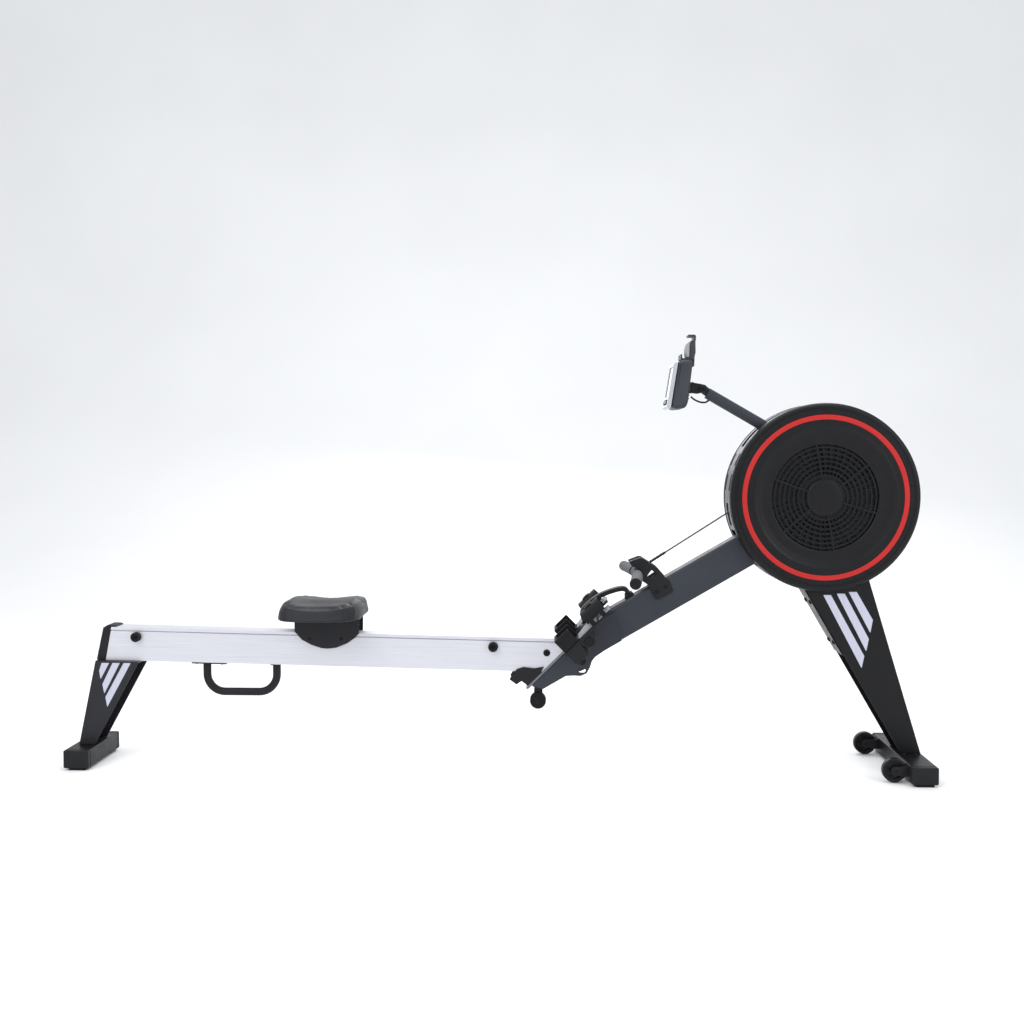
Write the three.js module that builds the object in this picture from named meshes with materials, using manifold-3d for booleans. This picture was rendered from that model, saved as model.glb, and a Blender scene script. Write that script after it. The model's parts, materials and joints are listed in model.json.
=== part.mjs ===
// Air-resistance rowing machine with a folding seat rail.
// Millimetres, +Z up, +X from the rear foot to the fan, -Y is the near side.
// Origin: centre of the bounding box in X and Y, floor level in Z.
import * as THREE from 'three';
import { mergeVertices } from 'three/addons/utils/BufferGeometryUtils.js';
import Module from 'manifold-3d';

const wasm = await Module();
wasm.setup();

// ---- driving dimensions ----------------------------------------------------
const GAP = 0.3; // between parts that touch
const HALF_LENGTH = 1220;

const FAN = { x: 936, z: 780, rim: 265, half: 72.5 };
const GRILLE = { hub: 51, outer: 152, dish: 197, recess: 6.5, rings: 3, sectors: 6 };

const BOOM = { x: 500, z: 499, tilt: 30.3, tall: 94, half: 33, wall: 3, from: 254, to: 812 };
const HINGE = { x: 241, z: 364 };
const CUT = { x: 115, z: 235.5 }; // lower end of the 45 degree faces where rail meets boom

const RAIL = { x: -1130.6, z: 302.9, tilt: -1.19, tall: 97.5, web: 28, head: 30 };
const SEAT = { x: -490, halfX: 121, halfY: 157, low: 430.6, top: 476 };
const ROLLER = { r: 17, rear: -545, front: -410 };

const HANDLE = { x: 414, z: 560, half: 256, grip: 16, bar: 13.5 };
const BELT = { thick: 1.6, half: 12.5 };
const GUIDE = { x: 706, z: 738, r: 13 };
const DRUM_R = 44;

const ARM = { x: 860, z: 932.7, r: 16, tilt: 30.1, end: 285 };
const TILT = { x: 600.4, z: 1087.6 };

const FOOT = { x: 207, z: 347, inner: 48, outer: 152 };
const FRONT_FOOT = { lo: 1150, hi: HALF_LENGTH, top: 54, tube: 178, half: 200, padLo: 1160, padHi: 1209 };
const REAR_FOOT = { lo: -HALF_LENGTH, hi: -1148, top: 57.6, tube: 100, half: 119, padLo: -1205, padHi: -1158 };
const WHEEL = { x: 1113, z: 35, r: 33, y: 150 };
const CASTER = { x: 132.3, z: 188.6, r: 23.3 };

// ---- finishes --------------------------------------------------------------
const FINISH = {
  frame: [0x3c4148, 0.45, 0.5],
  plastic: [0x1d1e20, 0.5, 0],
  satin: [0xc4c7ca, 0.35, 0.9],
  bright: [0xaeb2b6, 0.25, 1],
  leg: [0x232427, 0.4, 0.4],
  rubber: [0x151516, 0.85, 0],
  grip: [0x6d6f71, 0.75, 0],
  strap: [0x26282a, 0.8, 0],
  screen: [0x0c1013, 0.12, 0],
  pad: [0x8b8d8f, 0.7, 0],
};

// ---- building blocks -------------------------------------------------------
const rad = (d) => (d * Math.PI) / 180;

/** Turn a body inside out if its faces point inwards. */
function outward(geo) {
  const g = mergeVertices(bare(geo), 1e-4);
  const p = g.attributes.position;
  const at = (i) => new THREE.Vector3().fromBufferAttribute(p, g.index.getX(i));
  let volume = 0;
  for (let i = 0; i < g.index.count; i += 3) {
    volume += at(i).dot(at(i + 1).cross(at(i + 2)));
  }
  if (volume < 0) {
    for (let i = 0; i < g.index.count; i += 3) {
      const keep = g.index.getX(i);
      g.index.setX(i, g.index.getX(i + 1));
      g.index.setX(i + 1, keep);
    }
  }
  return g;
}

/** The same faces with positions only. */
function bare(geo) {
  const g = geo.clone();
  for (const name of Object.keys(g.attributes)) {
    if (name !== 'position') g.deleteAttribute(name);
  }
  return g;
}

function toManifold(geo) {
  const g = outward(geo);
  return new wasm.Manifold(new wasm.Mesh({
    numProp: 3,
    vertProperties: new Float32Array(g.attributes.position.array),
    triVerts: new Uint32Array(g.index.array),
  }));
}

function fromManifold(m) {
  const mesh = m.getMesh();
  const g = new THREE.BufferGeometry();
  g.setAttribute('position', new THREE.BufferAttribute(new Float32Array(mesh.vertProperties), 3));
  g.setIndex(new THREE.BufferAttribute(new Uint32Array(mesh.triVerts), 1));
  return g;
}

function join(...parts) {
  return fromManifold(parts.map(toManifold).reduce((a, b) => a.add(b)));
}

function cut(from, ...tools) {
  return fromManifold(tools.map(toManifold).reduce((a, b) => a.subtract(b), toManifold(from)));
}

/** A shape from a contour, always counter-clockwise, with its holes. */
function shapeOf(points, holes = []) {
  const vectors = (list) => list.map(([x, y]) => new THREE.Vector2(x, y));
  const contour = vectors(points);
  if (THREE.ShapeUtils.isClockWise(contour)) contour.reverse();
  const shape = new THREE.Shape(contour);
  shape.holes = holes.map((h) => new THREE.Path(vectors(h)));
  return shape;
}

/** A circle as points, for a contour or a hole. */
function circle(x, y, r, n = 16) {
  return Array.from({ length: n }, (_, i) => {
    const a = (2 * Math.PI * i) / n;
    return [x + r * Math.cos(a), y + r * Math.sin(a)];
  });
}

/** Arc points from angle a to angle b, in degrees. */
function arc(x, y, r, a, b, n = 8) {
  return Array.from({ length: n + 1 }, (_, i) => {
    const t = rad(a + ((b - a) * i) / n);
    return [x + r * Math.cos(t), y + r * Math.sin(t)];
  });
}

/** A side-view contour (x, z) with thickness in Y. */
function plate(contour, yLow, yHigh, holes = []) {
  const depth = yHigh - yLow;
  const g = new THREE.ExtrudeGeometry(shapeOf(contour, holes), { depth, bevelEnabled: false });
  g.rotateX(Math.PI / 2);
  g.translate(0, yHigh, 0);
  return g;
}

/** The same contour on the near side and the far side: [near, far]. */
const bothSides = (make) => [make(-1), make(1)];

function box(x0, x1, y0, y1, z0, z1) {
  return plate([[x0, z0], [x1, z0], [x1, z1], [x0, z1]], y0, y1);
}

function rod(x, z, r, y0, y1, n = 16) {
  const g = new THREE.CylinderGeometry(r, r, y1 - y0, n);
  g.translate(x, (y0 + y1) / 2, z);
  return g;
}

/** A turned part about an axis along Y: profile of [radius, y], starting and ending on the axis. */
function turned(profile, x, z, n = 16) {
  const g = new THREE.LatheGeometry(profile.map(([r, y]) => new THREE.Vector2(r, y)), n);
  g.translate(x, 0, z);
  return g;
}

/** A section (y, z) swept along +X from x0 to x1. */
function beam(section, x0, x1, holes = []) {
  const g = new THREE.ExtrudeGeometry(shapeOf(section, holes), { depth: x1 - x0, bevelEnabled: false });
  const turn = new THREE.Matrix4().set(0, 0, 1, x0, 1, 0, 0, 0, 0, 1, 0, 0, 0, 0, 0, 1);
  return g.applyMatrix4(turn);
}

/** A rounded rectangle centred on (cx, cy). */
function roundRect(cx, cy, halfX, halfY, r, n = 3) {
  return [
    ...arc(cx + halfX - r, cy + halfY - r, r, 0, 90, n),
    ...arc(cx - halfX + r, cy + halfY - r, r, 90, 180, n),
    ...arc(cx - halfX + r, cy - halfY + r, r, 180, 270, n),
    ...arc(cx + halfX - r, cy - halfY + r, r, 270, 360, n),
  ];
}

/** A round bar along points; inner makes it a tube with open ends. */
function pipe(points, r, steps, n = 14, inner = 0) {
  const curve = new THREE.CatmullRomCurve3(points.map((p) => new THREE.Vector3(...p)), false, 'centripetal');
  const shape = shapeOf(circle(0, 0, r, n), inner ? [circle(0, 0, inner, n)] : []);
  return new THREE.ExtrudeGeometry(shape, { steps, extrudePath: curve, bevelEnabled: false });
}

/** A flat band along side-view points, as a contour of the given thickness. */
function ribbon(points, thick) {
  const side = (sign) => points.map((p, i) => {
    const a = points[Math.max(i - 1, 0)];
    const b = points[Math.min(i + 1, points.length - 1)];
    const len = Math.hypot(b[0] - a[0], b[1] - a[1]);
    const n = [-(b[1] - a[1]) / len, (b[0] - a[0]) / len];
    return [p[0] + (sign * thick * n[0]) / 2, p[1] + (sign * thick * n[1]) / 2];
  });
  return [...side(-1), ...side(1).reverse()];
}

const root = new THREE.Group();
root.name = 'rowing_machine';

function add(name, geo, finish) {
  const [color, roughness, metalness] = FINISH[finish];
  const mesh = new THREE.Mesh(outward(geo), new THREE.MeshStandardMaterial({ color, roughness, metalness }));
  mesh.name = name;
  root.add(mesh);
}

// ---- local frames ----------------------------------------------------------
/** Along and above the rail's underside. */
function railAt(s, t) {
  const a = rad(RAIL.tilt);
  return [RAIL.x + s * Math.cos(a) - t * Math.sin(a), RAIL.z + s * Math.sin(a) + t * Math.cos(a)];
}
const railTop = (x) => RAIL.z + Math.tan(rad(RAIL.tilt)) * (x - RAIL.x) + RAIL.tall;
const railLow = (x) => railTop(x) - RAIL.tall;

/** Along the 45 degree joint between rail and boom, and out from it towards the boom. */
const jointAt = (s, o) => [CUT.x + Math.SQRT1_2 * (s + o), CUT.z + Math.SQRT1_2 * (s - o)];

/** Along a foot sole from the heel and up from it. */
const soleAt = (s, h) => [FOOT.x + Math.SQRT1_2 * (s - h), FOOT.z + Math.SQRT1_2 * (s + h)];

const boomSlope = Math.tan(rad(BOOM.tilt));
const boomRise = BOOM.tall / 2 / Math.cos(rad(BOOM.tilt));
const boomTop = (x) => BOOM.z + boomSlope * (x - BOOM.x) + boomRise;
const boomLow = (x) => BOOM.z + boomSlope * (x - BOOM.x) - boomRise;

// ---- boom and its 45 degree foot -------------------------------------------
const boomTube = beam(
  roundRect(0, 0, BOOM.half, BOOM.tall / 2, 8),
  -400,
  340,
  [roundRect(0, 0, BOOM.half - BOOM.wall, BOOM.tall / 2 - BOOM.wall, 5)],
);
boomTube.rotateY(-rad(BOOM.tilt));
boomTube.translate(BOOM.x, 0, BOOM.z);
const crossbar = soleAt(75, -22);
add('boom', cut(
  boomTube,
  box(-100, BOOM.from, -90, 90, 0, 700),
  box(BOOM.to, 1100, -90, 90, 400, 1100),
  rod(...crossbar, 12.4, -60, 60),
), 'frame');

const footContour = [
  [115.7, 236.4], [147.7, 228.5], [212.5, 266.6], [234.8, 268], [254.6, 267], [272, 274.5],
  [281.7, 292.2], [286.8, 309.9], [296.5, 322.3], [321.3, 339.8], [372, 369.6], [352, 452],
  [258, 399], [240, 382], [226, 377], [221, 364], [222, 342.7],
];
const footHoles = [
  circle(HINGE.x, HINGE.z, 6.3),
  circle(259, 309, 6),
  roundRect(259, 283, 10.5, 6.5, 6.4),
  circle(...crossbar, 12.4),
];
add('boom_foot', join(
  ...bothSides((s) => plate(footContour, s < 0 ? -37.4 : 33.4, s < 0 ? -33.4 : 37.4, footHoles)),
  plate([jointAt(2, 0.3), jointAt(160, 0.3), jointAt(160, 6), jointAt(2, 6)], -34, 34),
), 'frame');

add('caster_neck', join(
  plate([jointAt(4, 6.4), jointAt(30, 6.4), jointAt(22, 20), [143, 231]], -33, 33),
  plate(
    [[124, 233], [143, 240], [146, 224], ...arc(CASTER.x, CASTER.z, 12, 10, -190, 10), [121, 224]],
    -4,
    4,
    [circle(CASTER.x, CASTER.z, 5.4)],
  ),
), 'leg');

const casterHalf = [[9, -13], [CASTER.r - 2, -13], [CASTER.r, -11], [CASTER.r, -4.8], [5, -4.8]];
add('caster_wheels', turned([
  [0, -14.5],
  [9, -14.5],
  ...casterHalf,
  ...casterHalf.map(([r, y]) => [r, -y]).reverse(),
  [9, 14.5],
  [0, 14.5],
], CASTER.x, CASTER.z, 18), 'rubber');

// ---- drive frame inside the fan cage ---------------------------------------
const driveContour = [
  [748, 634], [716, 668], [696, 722], [696, 752], [718, 757], [770, 752], [838, 950], [852, 957],
  [872, 953], [886, 925], [962, 832], [988, 780], [1008, 650], [1052, 560], [1046, 508],
  [1010, 480], [934, 480], [880, 575], [820, 655],
];
const coreContour = [[941, 488], [1006, 488], [1030, 520], [1020, 556], [905, 556]];
add('drive_frame', join(
  ...bothSides((s) => plate(
    driveContour,
    s < 0 ? -37.2 : 33.4,
    s < 0 ? -33.4 : 37.2,
    [circle(FAN.x, FAN.z, 8.3)],
  )),
  plate(coreContour, -34, 34),
  rod(ARM.x, ARM.z, 8, -34, 34),
  rod(GUIDE.x, GUIDE.z, 4, -34, 34),
), 'leg');

add('axle', turned([
  [0, -63], [7, -63], [8, -62], [8, 47], [12, 47], [12, 53], [0, 53],
], FAN.x, FAN.z, 16), 'bright');

/** The flywheel: a disc with radial vanes on its near side, and a rim. */
function fanWheel() {
  const y = { near: -60, disc: -45, far: -41 };
  const disc = turned([
    [8.5, y.near + 2], [34, y.near + 2], [40, y.disc], [225, y.disc], [225, y.far], [28, y.far],
    [28, -38.5], [8.5, -38.5], [8.5, y.near + 2],
  ], 0, 0, 24);
  const vanes = Array.from({ length: 12 }, (_, i) => {
    const v = box(62, 221, y.near, y.disc + 0.5, -1.5, 1.5);
    v.rotateY(rad(30 * i));
    return v;
  });
  const wheel = join(disc, ...vanes);
  wheel.translate(FAN.x, 0, FAN.z);
  return wheel;
}
add('fan_wheel', fanWheel(), 'bright');

add('belt_drum', turned([
  [8.5, -30], [DRUM_R + 6, -30], [DRUM_R + 6, -26], [DRUM_R, -15], [DRUM_R, 15],
  [DRUM_R + 6, 16], [DRUM_R + 6, 18], [8.5, 18], [8.5, -30],
], FAN.x, FAN.z, 24), 'satin');
add('recoil_case', turned([
  [8.5, 19], [40, 19], [42, 21], [42, 31], [40, 33], [8.5, 33], [8.5, 19],
], FAN.x, FAN.z, 20), 'plastic');
add('guide_roller', turned([
  [4.3, -17], [16, -17], [16, -14.5], [GUIDE.r, -14], [GUIDE.r, 14], [16, 14.5], [16, 17],
  [4.3, 17], [4.3, -17],
], GUIDE.x, GUIDE.z, 16), 'plastic');

// ---- fan cage --------------------------------------------------------------
/** One side cover, dished to its grille. Built for the near side; the far one is mirrored. */
function fanCover(extra) {
  const y = -FAN.half;
  const R = FAN.rim;
  const g = GRILLE;
  const shell = turned([
    [0, y + g.recess], [g.outer + 10, y + g.recess], [g.dish, y], [R - 12, y], [R - 2, y + 7],
    [R, y + 17], [R, y + 22], [R - 2.8, y + 22], [R - 3.5, y + 12], [R - 12, y + 3],
    [g.dish + 1, y + 3], [g.outer + 10, y + g.recess + 3], [0, y + g.recess + 3],
  ], 0, 0, 36);
  const pitch = (g.outer - g.hub) / g.rings;
  const slots = [];
  for (let ring = 0; ring < g.rings; ring += 1) {
    const r0 = g.hub + 5 + ring * pitch;
    const r1 = r0 + pitch - 7;
    for (let k = 0; k < g.sectors; k += 1) {
      const a = 10 + k * (360 / g.sectors);
      const spread = rad(3) * (g.outer / r0);
      const a0 = a + THREE.MathUtils.radToDeg(spread) / 2;
      const a1 = a + 360 / g.sectors - THREE.MathUtils.radToDeg(spread) / 2;
      slots.push(plate([...arc(0, 0, r1, a0, a1, 3), ...arc(0, 0, r0, a1, a0, 3)], y - 5, y + 20));
    }
  }
  return cut(shell, ...slots, ...extra);
}

function placed(geo, mirror) {
  if (mirror) geo.scale(1, -1, 1);
  geo.translate(FAN.x, 0, FAN.z);
  return geo;
}
const leverSlot = plate([...arc(0, 0, 188, 118, 182, 8), ...arc(0, 0, 178, 182, 118, 8)], -90, -50);
add('fan_cover_near', placed(fanCover([]), false), 'plastic');
add('fan_cover_far', placed(fanCover([leverSlot]), true), 'plastic');

/** Perimeter band between the covers, open where the boom, leg, belt and monitor arm pass. */
function cageBand() {
  const edge = FAN.half - 22.4;
  const R = FAN.rim - 1.2;
  const sector = (a, b) => [[0, 0], ...arc(0, 0, 400, a, b, 6)];
  const ring = turned([[R - 3, -edge], [R, -edge], [R, edge], [R - 3, edge], [R - 3, -edge]], 0, 0, 36);
  const open = cut(
    ring,
    plate(sector(103, 147), -20, 20),
    plate(sector(184, 198), -17, 17),
    plate(sector(201, 229), -33.4, 33.4),
    plate(sector(256, 303), -90, 90),
  );
  open.translate(FAN.x, 0, FAN.z);
  return open;
}
add('cage_band', cageBand(), 'satin');

/** Air shutter behind the far grille, with its lever through the cover. */
function damper() {
  const rim = turned([[46, 55], [154, 55], [154, 57.5], [46, 57.5], [46, 55]], 0, 0, 24);
  const windows = Array.from({ length: 3 }, (_, k) => {
    const a = 10 + 120 * k;
    return plate([...arc(0, 0, 146, a, a + 52, 4), ...arc(0, 0, 58, a + 52, a, 4)], 50, 60);
  });
  const lever = join(
    plate([[-152, -5], [-152, 5], [-186, 4], [-186, -4]], 55, 57.5),
    plate([[-180, -4], [-180, 4], [-186, 4], [-186, -4]], 56, 82),
    plate(roundRect(-183, 0, 9, 14, 6, 3), 76, 88),
  );
  const hub = cut(rod(0, 0, 60, 55, 57.5, 20), rod(0, 0, 13, 50, 60));
  const all = join(cut(rim, ...windows), hub, lever);
  all.translate(FAN.x, 0, FAN.z);
  return all;
}
const damperGeo = damper();
add('damper', damperGeo, 'plastic');

// ---- front leg, foot and transport wheels ----------------------------------
const LEG_HALF = 50;
const legLeft = (z) => 1160.5 - (z - 54.3) * 0.5846;
const LEG_TOP = 552;
const legSkin = [[legLeft(LEG_TOP), LEG_TOP], [1064, LEG_TOP], [1217, 54.3], [1160.5, 54.3]];
const legHollow = [[700, 620], [1039.7, 620], [1212.8, 57.3], [700, 57.3]];
add('front_leg', cut(
  plate(legSkin, -LEG_HALF, LEG_HALF),
  plate(legHollow, -LEG_HALF + 3, LEG_HALF - 3),
), 'leg');
add('front_leg_flange', plate([
  [legLeft(550) - GAP, 550], [legLeft(333) - GAP, 333], [legLeft(333) - 4, 333], [legLeft(550) - 4, 550],
], -47, 47), 'leg');

/** Stabiliser tube across the floor. */
function footTube(f) {
  const z = (f.top + 6.5) / 2;
  const outer = roundRect((f.lo + f.hi) / 2, z, (f.hi - f.lo) / 2, (f.top - 6.5) / 2, 5);
  const inner = roundRect((f.lo + f.hi) / 2, z, (f.hi - f.lo) / 2 - 3, (f.top - 6.5) / 2 - 3, 3);
  return plate(outer, -f.tube, f.tube, [inner]);
}

/** End cap with its floor pad; side is -1 near, 1 far. */
function footCap(f, side) {
  const z = (f.top + 6.5) / 2;
  const outer = roundRect((f.lo + f.hi) / 2, z, (f.hi - f.lo) / 2, (f.top - 6.5) / 2, 5);
  const span = (a, b) => (side < 0 ? [-b, -a] : [a, b]);
  return [
    plate(outer, ...span(f.tube + GAP, f.half)),
    box(f.padLo, f.padHi, ...span(f.tube - 28, f.half - 3), 0, 6.2),
    box(f.padLo, f.padHi, ...span(f.tube + GAP, f.half - 3), 5, 12),
  ];
}

/** Fork that carries a transport wheel off the back of the front foot's cap. */
function wheelFork(side) {
  const span = (a, b) => (side < 0 ? [-b, -a] : [a, b]);
  const { x, z, y } = WHEEL;
  const ear = [...arc(x, z, 12, 90, 270, 8), [FRONT_FOOT.lo - GAP, 20], [FRONT_FOOT.lo - GAP, 50]];
  const hole = circle(x, z, 4.5);
  return [
    plate(ear, ...span(y - 17, y - 12.5), [hole]),
    plate(ear, ...span(y + 12.5, y + 17), [hole]),
    box(FRONT_FOOT.lo - 3, FRONT_FOOT.lo - GAP, ...span(y - 17, FRONT_FOOT.half - 1), 20, 50),
    box(FRONT_FOOT.lo - 2, FRONT_FOOT.lo + 3, ...span(FRONT_FOOT.tube + 2, FRONT_FOOT.half - 1), 20, 50),
  ];
}

add('front_foot', footTube(FRONT_FOOT), 'leg');
add('rear_foot', footTube(REAR_FOOT), 'leg');
for (const [name, side] of [['near', -1], ['far', 1]]) {
  add(`front_foot_cap_${name}`, join(...footCap(FRONT_FOOT, side), ...wheelFork(side)), 'rubber');
  add(`rear_foot_cap_${name}`, join(...footCap(REAR_FOOT, side)), 'rubber');
  const wheel = turned([
    [0, -17.5], [4, -17.5], [4, -12], [11, -12], [13, -8], [28, -8], [WHEEL.r, -10],
    [WHEEL.r, 10], [28, 8], [13, 8], [11, 12], [4, 12], [4, 17.5], [0, 17.5],
  ], WHEEL.x, WHEEL.z, 18);
  wheel.translate(0, side * WHEEL.y, 0);
  add(`transport_wheel_${name}`, wheel, 'rubber');
}

// ---- rail group ------------------------------------------------------------
const head = RAIL.tall;
const railSection = [
  [-RAIL.web, 0], [RAIL.web, 0], [RAIL.web, head - 11.5], [RAIL.web - 4, head - 11.5],
  [RAIL.web - 4, head - 8.7], [RAIL.head, head - 8.7], [RAIL.head, head], [-RAIL.head, head],
  [-RAIL.head, head - 8.7], [4 - RAIL.web, head - 8.7], [4 - RAIL.web, head - 11.5], [-RAIL.web, head - 11.5],
];
const railBore = [
  [-RAIL.web + 2.5, 2.5], [RAIL.web - 2.5, 2.5], [RAIL.web - 2.5, 60], [12, 83], [-12, 83],
  [-RAIL.web + 2.5, 60],
];
const railBeam = beam(railSection, -80, 1500, [railBore]);
railBeam.rotateY(-rad(RAIL.tilt));
railBeam.translate(RAIL.x, 0, RAIL.z);
const bumperAt = [[-1034.8, 371.5], [3.8, 349]];
const rearCut = [railAt(-200, -20), railAt(2.1, -5), railAt(21.5, 110), railAt(-200, 110)];
add('rail', cut(
  railBeam,
  plate(rearCut, -60, 60),
  plate([jointAt(-150, -8.3), jointAt(400, -8.3), jointAt(400, 500), jointAt(-150, 500)], -60, 60),
  rod(HINGE.x, HINGE.z, 10.6, -60, 60),
  ...bumperAt.map(([x, z]) => rod(x, z, 5.4, -60, 60)),
), 'satin');

add('rail_end_cap', plate([
  railAt(-24, 0), railAt(2.5, 0), railAt(19, head + GAP), railAt(34, head + GAP), railAt(33, head + 3),
  railAt(26, head + 5), railAt(8, head + 5), railAt(-5, head - 3),
], -29, 29), 'plastic');

add('rail_front_plate', cut(
  join(
    plate([jointAt(-16, -7.9), jointAt(178, -7.9), jointAt(178, 0), jointAt(-10, 0), jointAt(-18, -3)], -27.5, 27.5),
    rod(HINGE.x, HINGE.z, 9, -27.5, 27.5),
  ),
  rod(HINGE.x, HINGE.z, 6.4, -40, 40),
), 'bright');
add('hinge_pin', turned([
  [0, -41], [10, -41], [10, -37.7], [6, -37.7], [6, 37.7], [10, 37.7], [10, 41], [0, 41],
], HINGE.x, HINGE.z, 16), 'bright');

const hookContour = [
  [50.3, 254.6], [60.4, 272.4], [72.8, 284.9], [90.4, 290.6], [122.9, 287], [150, 292],
  jointAt(43, -8.2), jointAt(-8, -8.2), [85.5, 249.9], [70.5, 239.6],
];
add('rail_hook', join(
  ...bothSides((s) => plate(hookContour, s < 0 ? -32.4 : 28.3, s < 0 ? -28.3 : 32.4)),
  plate([[60, 258], [62, 262], [118, 262], [114, 256], [88, 254], [70, 246]], -29, 29),
), 'plastic');

bumperAt.forEach(([x, z], i) => add(`rail_bumper_${i ? 'front' : 'rear'}`, turned([
  [0, -45], [12, -45], [14, -43], [14, -28.3], [5, -28.3], [5, 28.3], [14, 28.3], [14, 43],
  [12, 45], [0, 45],
], x, z, 14), 'rubber'));

const REAR_LEG_HALF = 45;
const rearSkin = [
  [-1152, railLow(-1152) - GAP], [-1204, 57.9], [-1157, 57.9], [-1024, railLow(-1024) - GAP],
];
add('rear_leg', cut(
  plate(rearSkin, -REAR_LEG_HALF, REAR_LEG_HALF),
  plate([[-1147.4, 297], [-1200.2, 60.9], [-1000, 60.9], [-900, 295]], -REAR_LEG_HALF + 3, REAR_LEG_HALF - 3),
), 'leg');

const loopX = [-837, -631.5];
const loopZ = 207;
const loopTop = railLow(-734) - 2.5;
const loopBend = 52;
const bend = (x, a, b) => arc(x, loopZ + loopBend, loopBend, a, b, 6).map(([u, v]) => [u, 0, v]);
add('carry_loop', join(
  pipe([
    [loopX[0], 0, loopTop],
    ...bend(loopX[0] + loopBend, 180, 270),
    ...bend(loopX[1] - loopBend, 270, 360),
    [loopX[1], 0, loopTop],
  ], 11.5, 26, 10),
  plate([
    [-876, railLow(-876) - 4.5], [-775, railLow(-775) - 4.5], [-775, railLow(-775) - GAP],
    [-876, railLow(-876) - GAP],
  ], -24, 24),
  plate([
    [-646, railLow(-646) - 4.5], [-617, railLow(-617) - 4.5], [-617, railLow(-617) - GAP],
    [-646, railLow(-646) - GAP],
  ], -20, 20),
), 'plastic');

// ---- seat ------------------------------------------------------------------
/** Saddle-shaped cushion: raised front and rear lips, rounded edge, flat base. */
function seatPad() {
  const around = 28;
  const rings = [0.5, 0.85, 1.0];
  const outline = (a, k) => {
    const c = Math.cos(a);
    const s = Math.sin(a);
    const r = (Math.abs(c) ** 3.4 + Math.abs(s) ** 3.4) ** (-1 / 3.4);
    return [k * r * c, k * r * s];
  };
  const topAt = (u, v, k) => {
    const drop = k > 0.85 ? 9 * ((k - 0.85) / 0.15) ** 2 : 0;
    return SEAT.top + 12 * u * u - 4 * v * v - drop;
  };
  const pos = [0, 0, SEAT.top];
  const ring = (k, zOf) => {
    for (let i = 0; i < around; i += 1) {
      const [u, v] = outline((2 * Math.PI * i) / around, k);
      pos.push(u * SEAT.halfX, v * SEAT.halfY, zOf(u, v));
    }
  };
  rings.forEach((k) => ring(k, (u, v) => topAt(u, v, k)));
  ring(1.0, () => SEAT.low + 14);
  ring(0.95, () => SEAT.low);
  pos.push(0, 0, SEAT.low);
  const count = rings.length + 2;
  const index = [];
  const id = (r, i) => 1 + r * around + (i % around);
  for (let i = 0; i < around; i += 1) {
    index.push(0, id(0, i), id(0, i + 1));
    for (let r = 0; r < count - 1; r += 1) {
      index.push(id(r, i), id(r + 1, i), id(r + 1, i + 1));
      index.push(id(r, i), id(r + 1, i + 1), id(r, i + 1));
    }
    index.push(pos.length / 3 - 1, id(count - 1, i + 1), id(count - 1, i));
  }
  const g = new THREE.BufferGeometry();
  g.setAttribute('position', new THREE.Float32BufferAttribute(pos, 3));
  g.setIndex(index);
  g.translate(SEAT.x, 0, 0);
  return g;
}
add('seat_pad', seatPad(), 'rubber');

const rollerZ = (x) => railTop(x) + ROLLER.r + GAP;
const apron = [
  [-570.6, 430], [-570.6, 390.3], [-549.6, 366.9], [-522.1, 352.2], [-492.3, 342.8], [-475.2, 341.2],
  [-449.6, 343.9], [-417.6, 356.9], [-396.4, 372.1], [-383.5, 384.9], [-382.5, 430],
];
const axleHoles = [ROLLER.rear, ROLLER.front].map((x) => circle(x, rollerZ(x), 5.4));
add('seat_carriage', join(
  ...bothSides((s) => plate(apron, s < 0 ? -38 : 33.5, s < 0 ? -33.5 : 38, axleHoles)),
  box(-570.6, -382.5, -38, 38, 425, 430),
), 'plastic');
for (const [name, x] of [['rear', ROLLER.rear], ['front', ROLLER.front]]) {
  const half = [[0, -37], [5, -37], [5, -28], [ROLLER.r, -28], [ROLLER.r, -12], [5, -12]];
  add(`seat_roller_${name}`, turned(
    [...half, ...half.map(([r, y]) => [r, -y]).reverse()],
    x,
    rollerZ(x),
    18,
  ), 'grip');
}

// ---- handle, holder and pull belt ------------------------------------------
const sweep = (y) => Math.max(0, (Math.abs(y) - 40) / (HANDLE.half - 40)) ** 1.3;
const handleAt = (y) => [HANDLE.x - 19.4 * sweep(y), y, HANDLE.z - 3.7 * sweep(y)];
const span = (a, b, n) => Array.from({ length: n + 1 }, (_, i) => handleAt(a + ((b - a) * i) / n));
const pull = { x: 430, z: 576.8 };
add('handle_bar', join(
  pipe(span(-HANDLE.half + 5, HANDLE.half - 5, 12), 9, 12, 10),
  pipe(span(-55, 55, 4), HANDLE.bar, 4, 14),
  plate([[408, 552], [408, 569], [423, 576], [436, 584], [439, 578], [424, 560]], -14, 14),
), 'grip');
add('handle_grip_near', pipe(span(-HANDLE.half, -56, 6), HANDLE.grip, 6, 14, 10.4), 'grip');
add('handle_grip_far', pipe(span(56, HANDLE.half, 6), HANDLE.grip, 6, 14, 10.4), 'grip');

const holderContour = [
  [393.6, 591], [393.5, 596.7], [422.7, 607.6], [430.4, 606.2], [449.2, 594], [472, 579.8],
  [489.1, 560.7], [496, 550.1], [506.3, 541.6], [516.9, 515], [510.4, 505.5], [476.5, 489],
  [468.8, 489], [459.4, 501.3], [449.6, 524.2], [445, 529.9], [424, 544.5], [421.5, 545],
  [432, 564.2], [416, 577], [400.1, 582.5],
];
const aboveBoom = (x, h) => [x, boomTop(x) + h];
add('handle_holder', cut(
  plate(holderContour, -38, 38, [[[455.4, 572.5], [470, 561.5], [449, 547.5], [442.5, 554]]]),
  plate([aboveBoom(380, 0.5), aboveBoom(560, 0.5), [560, 400], [380, 400]], -33.4, 33.4),
  plate([aboveBoom(380, 9), aboveBoom(560, 9), [560, 700], [380, 700]], -18, 18),
), 'plastic');

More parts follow.
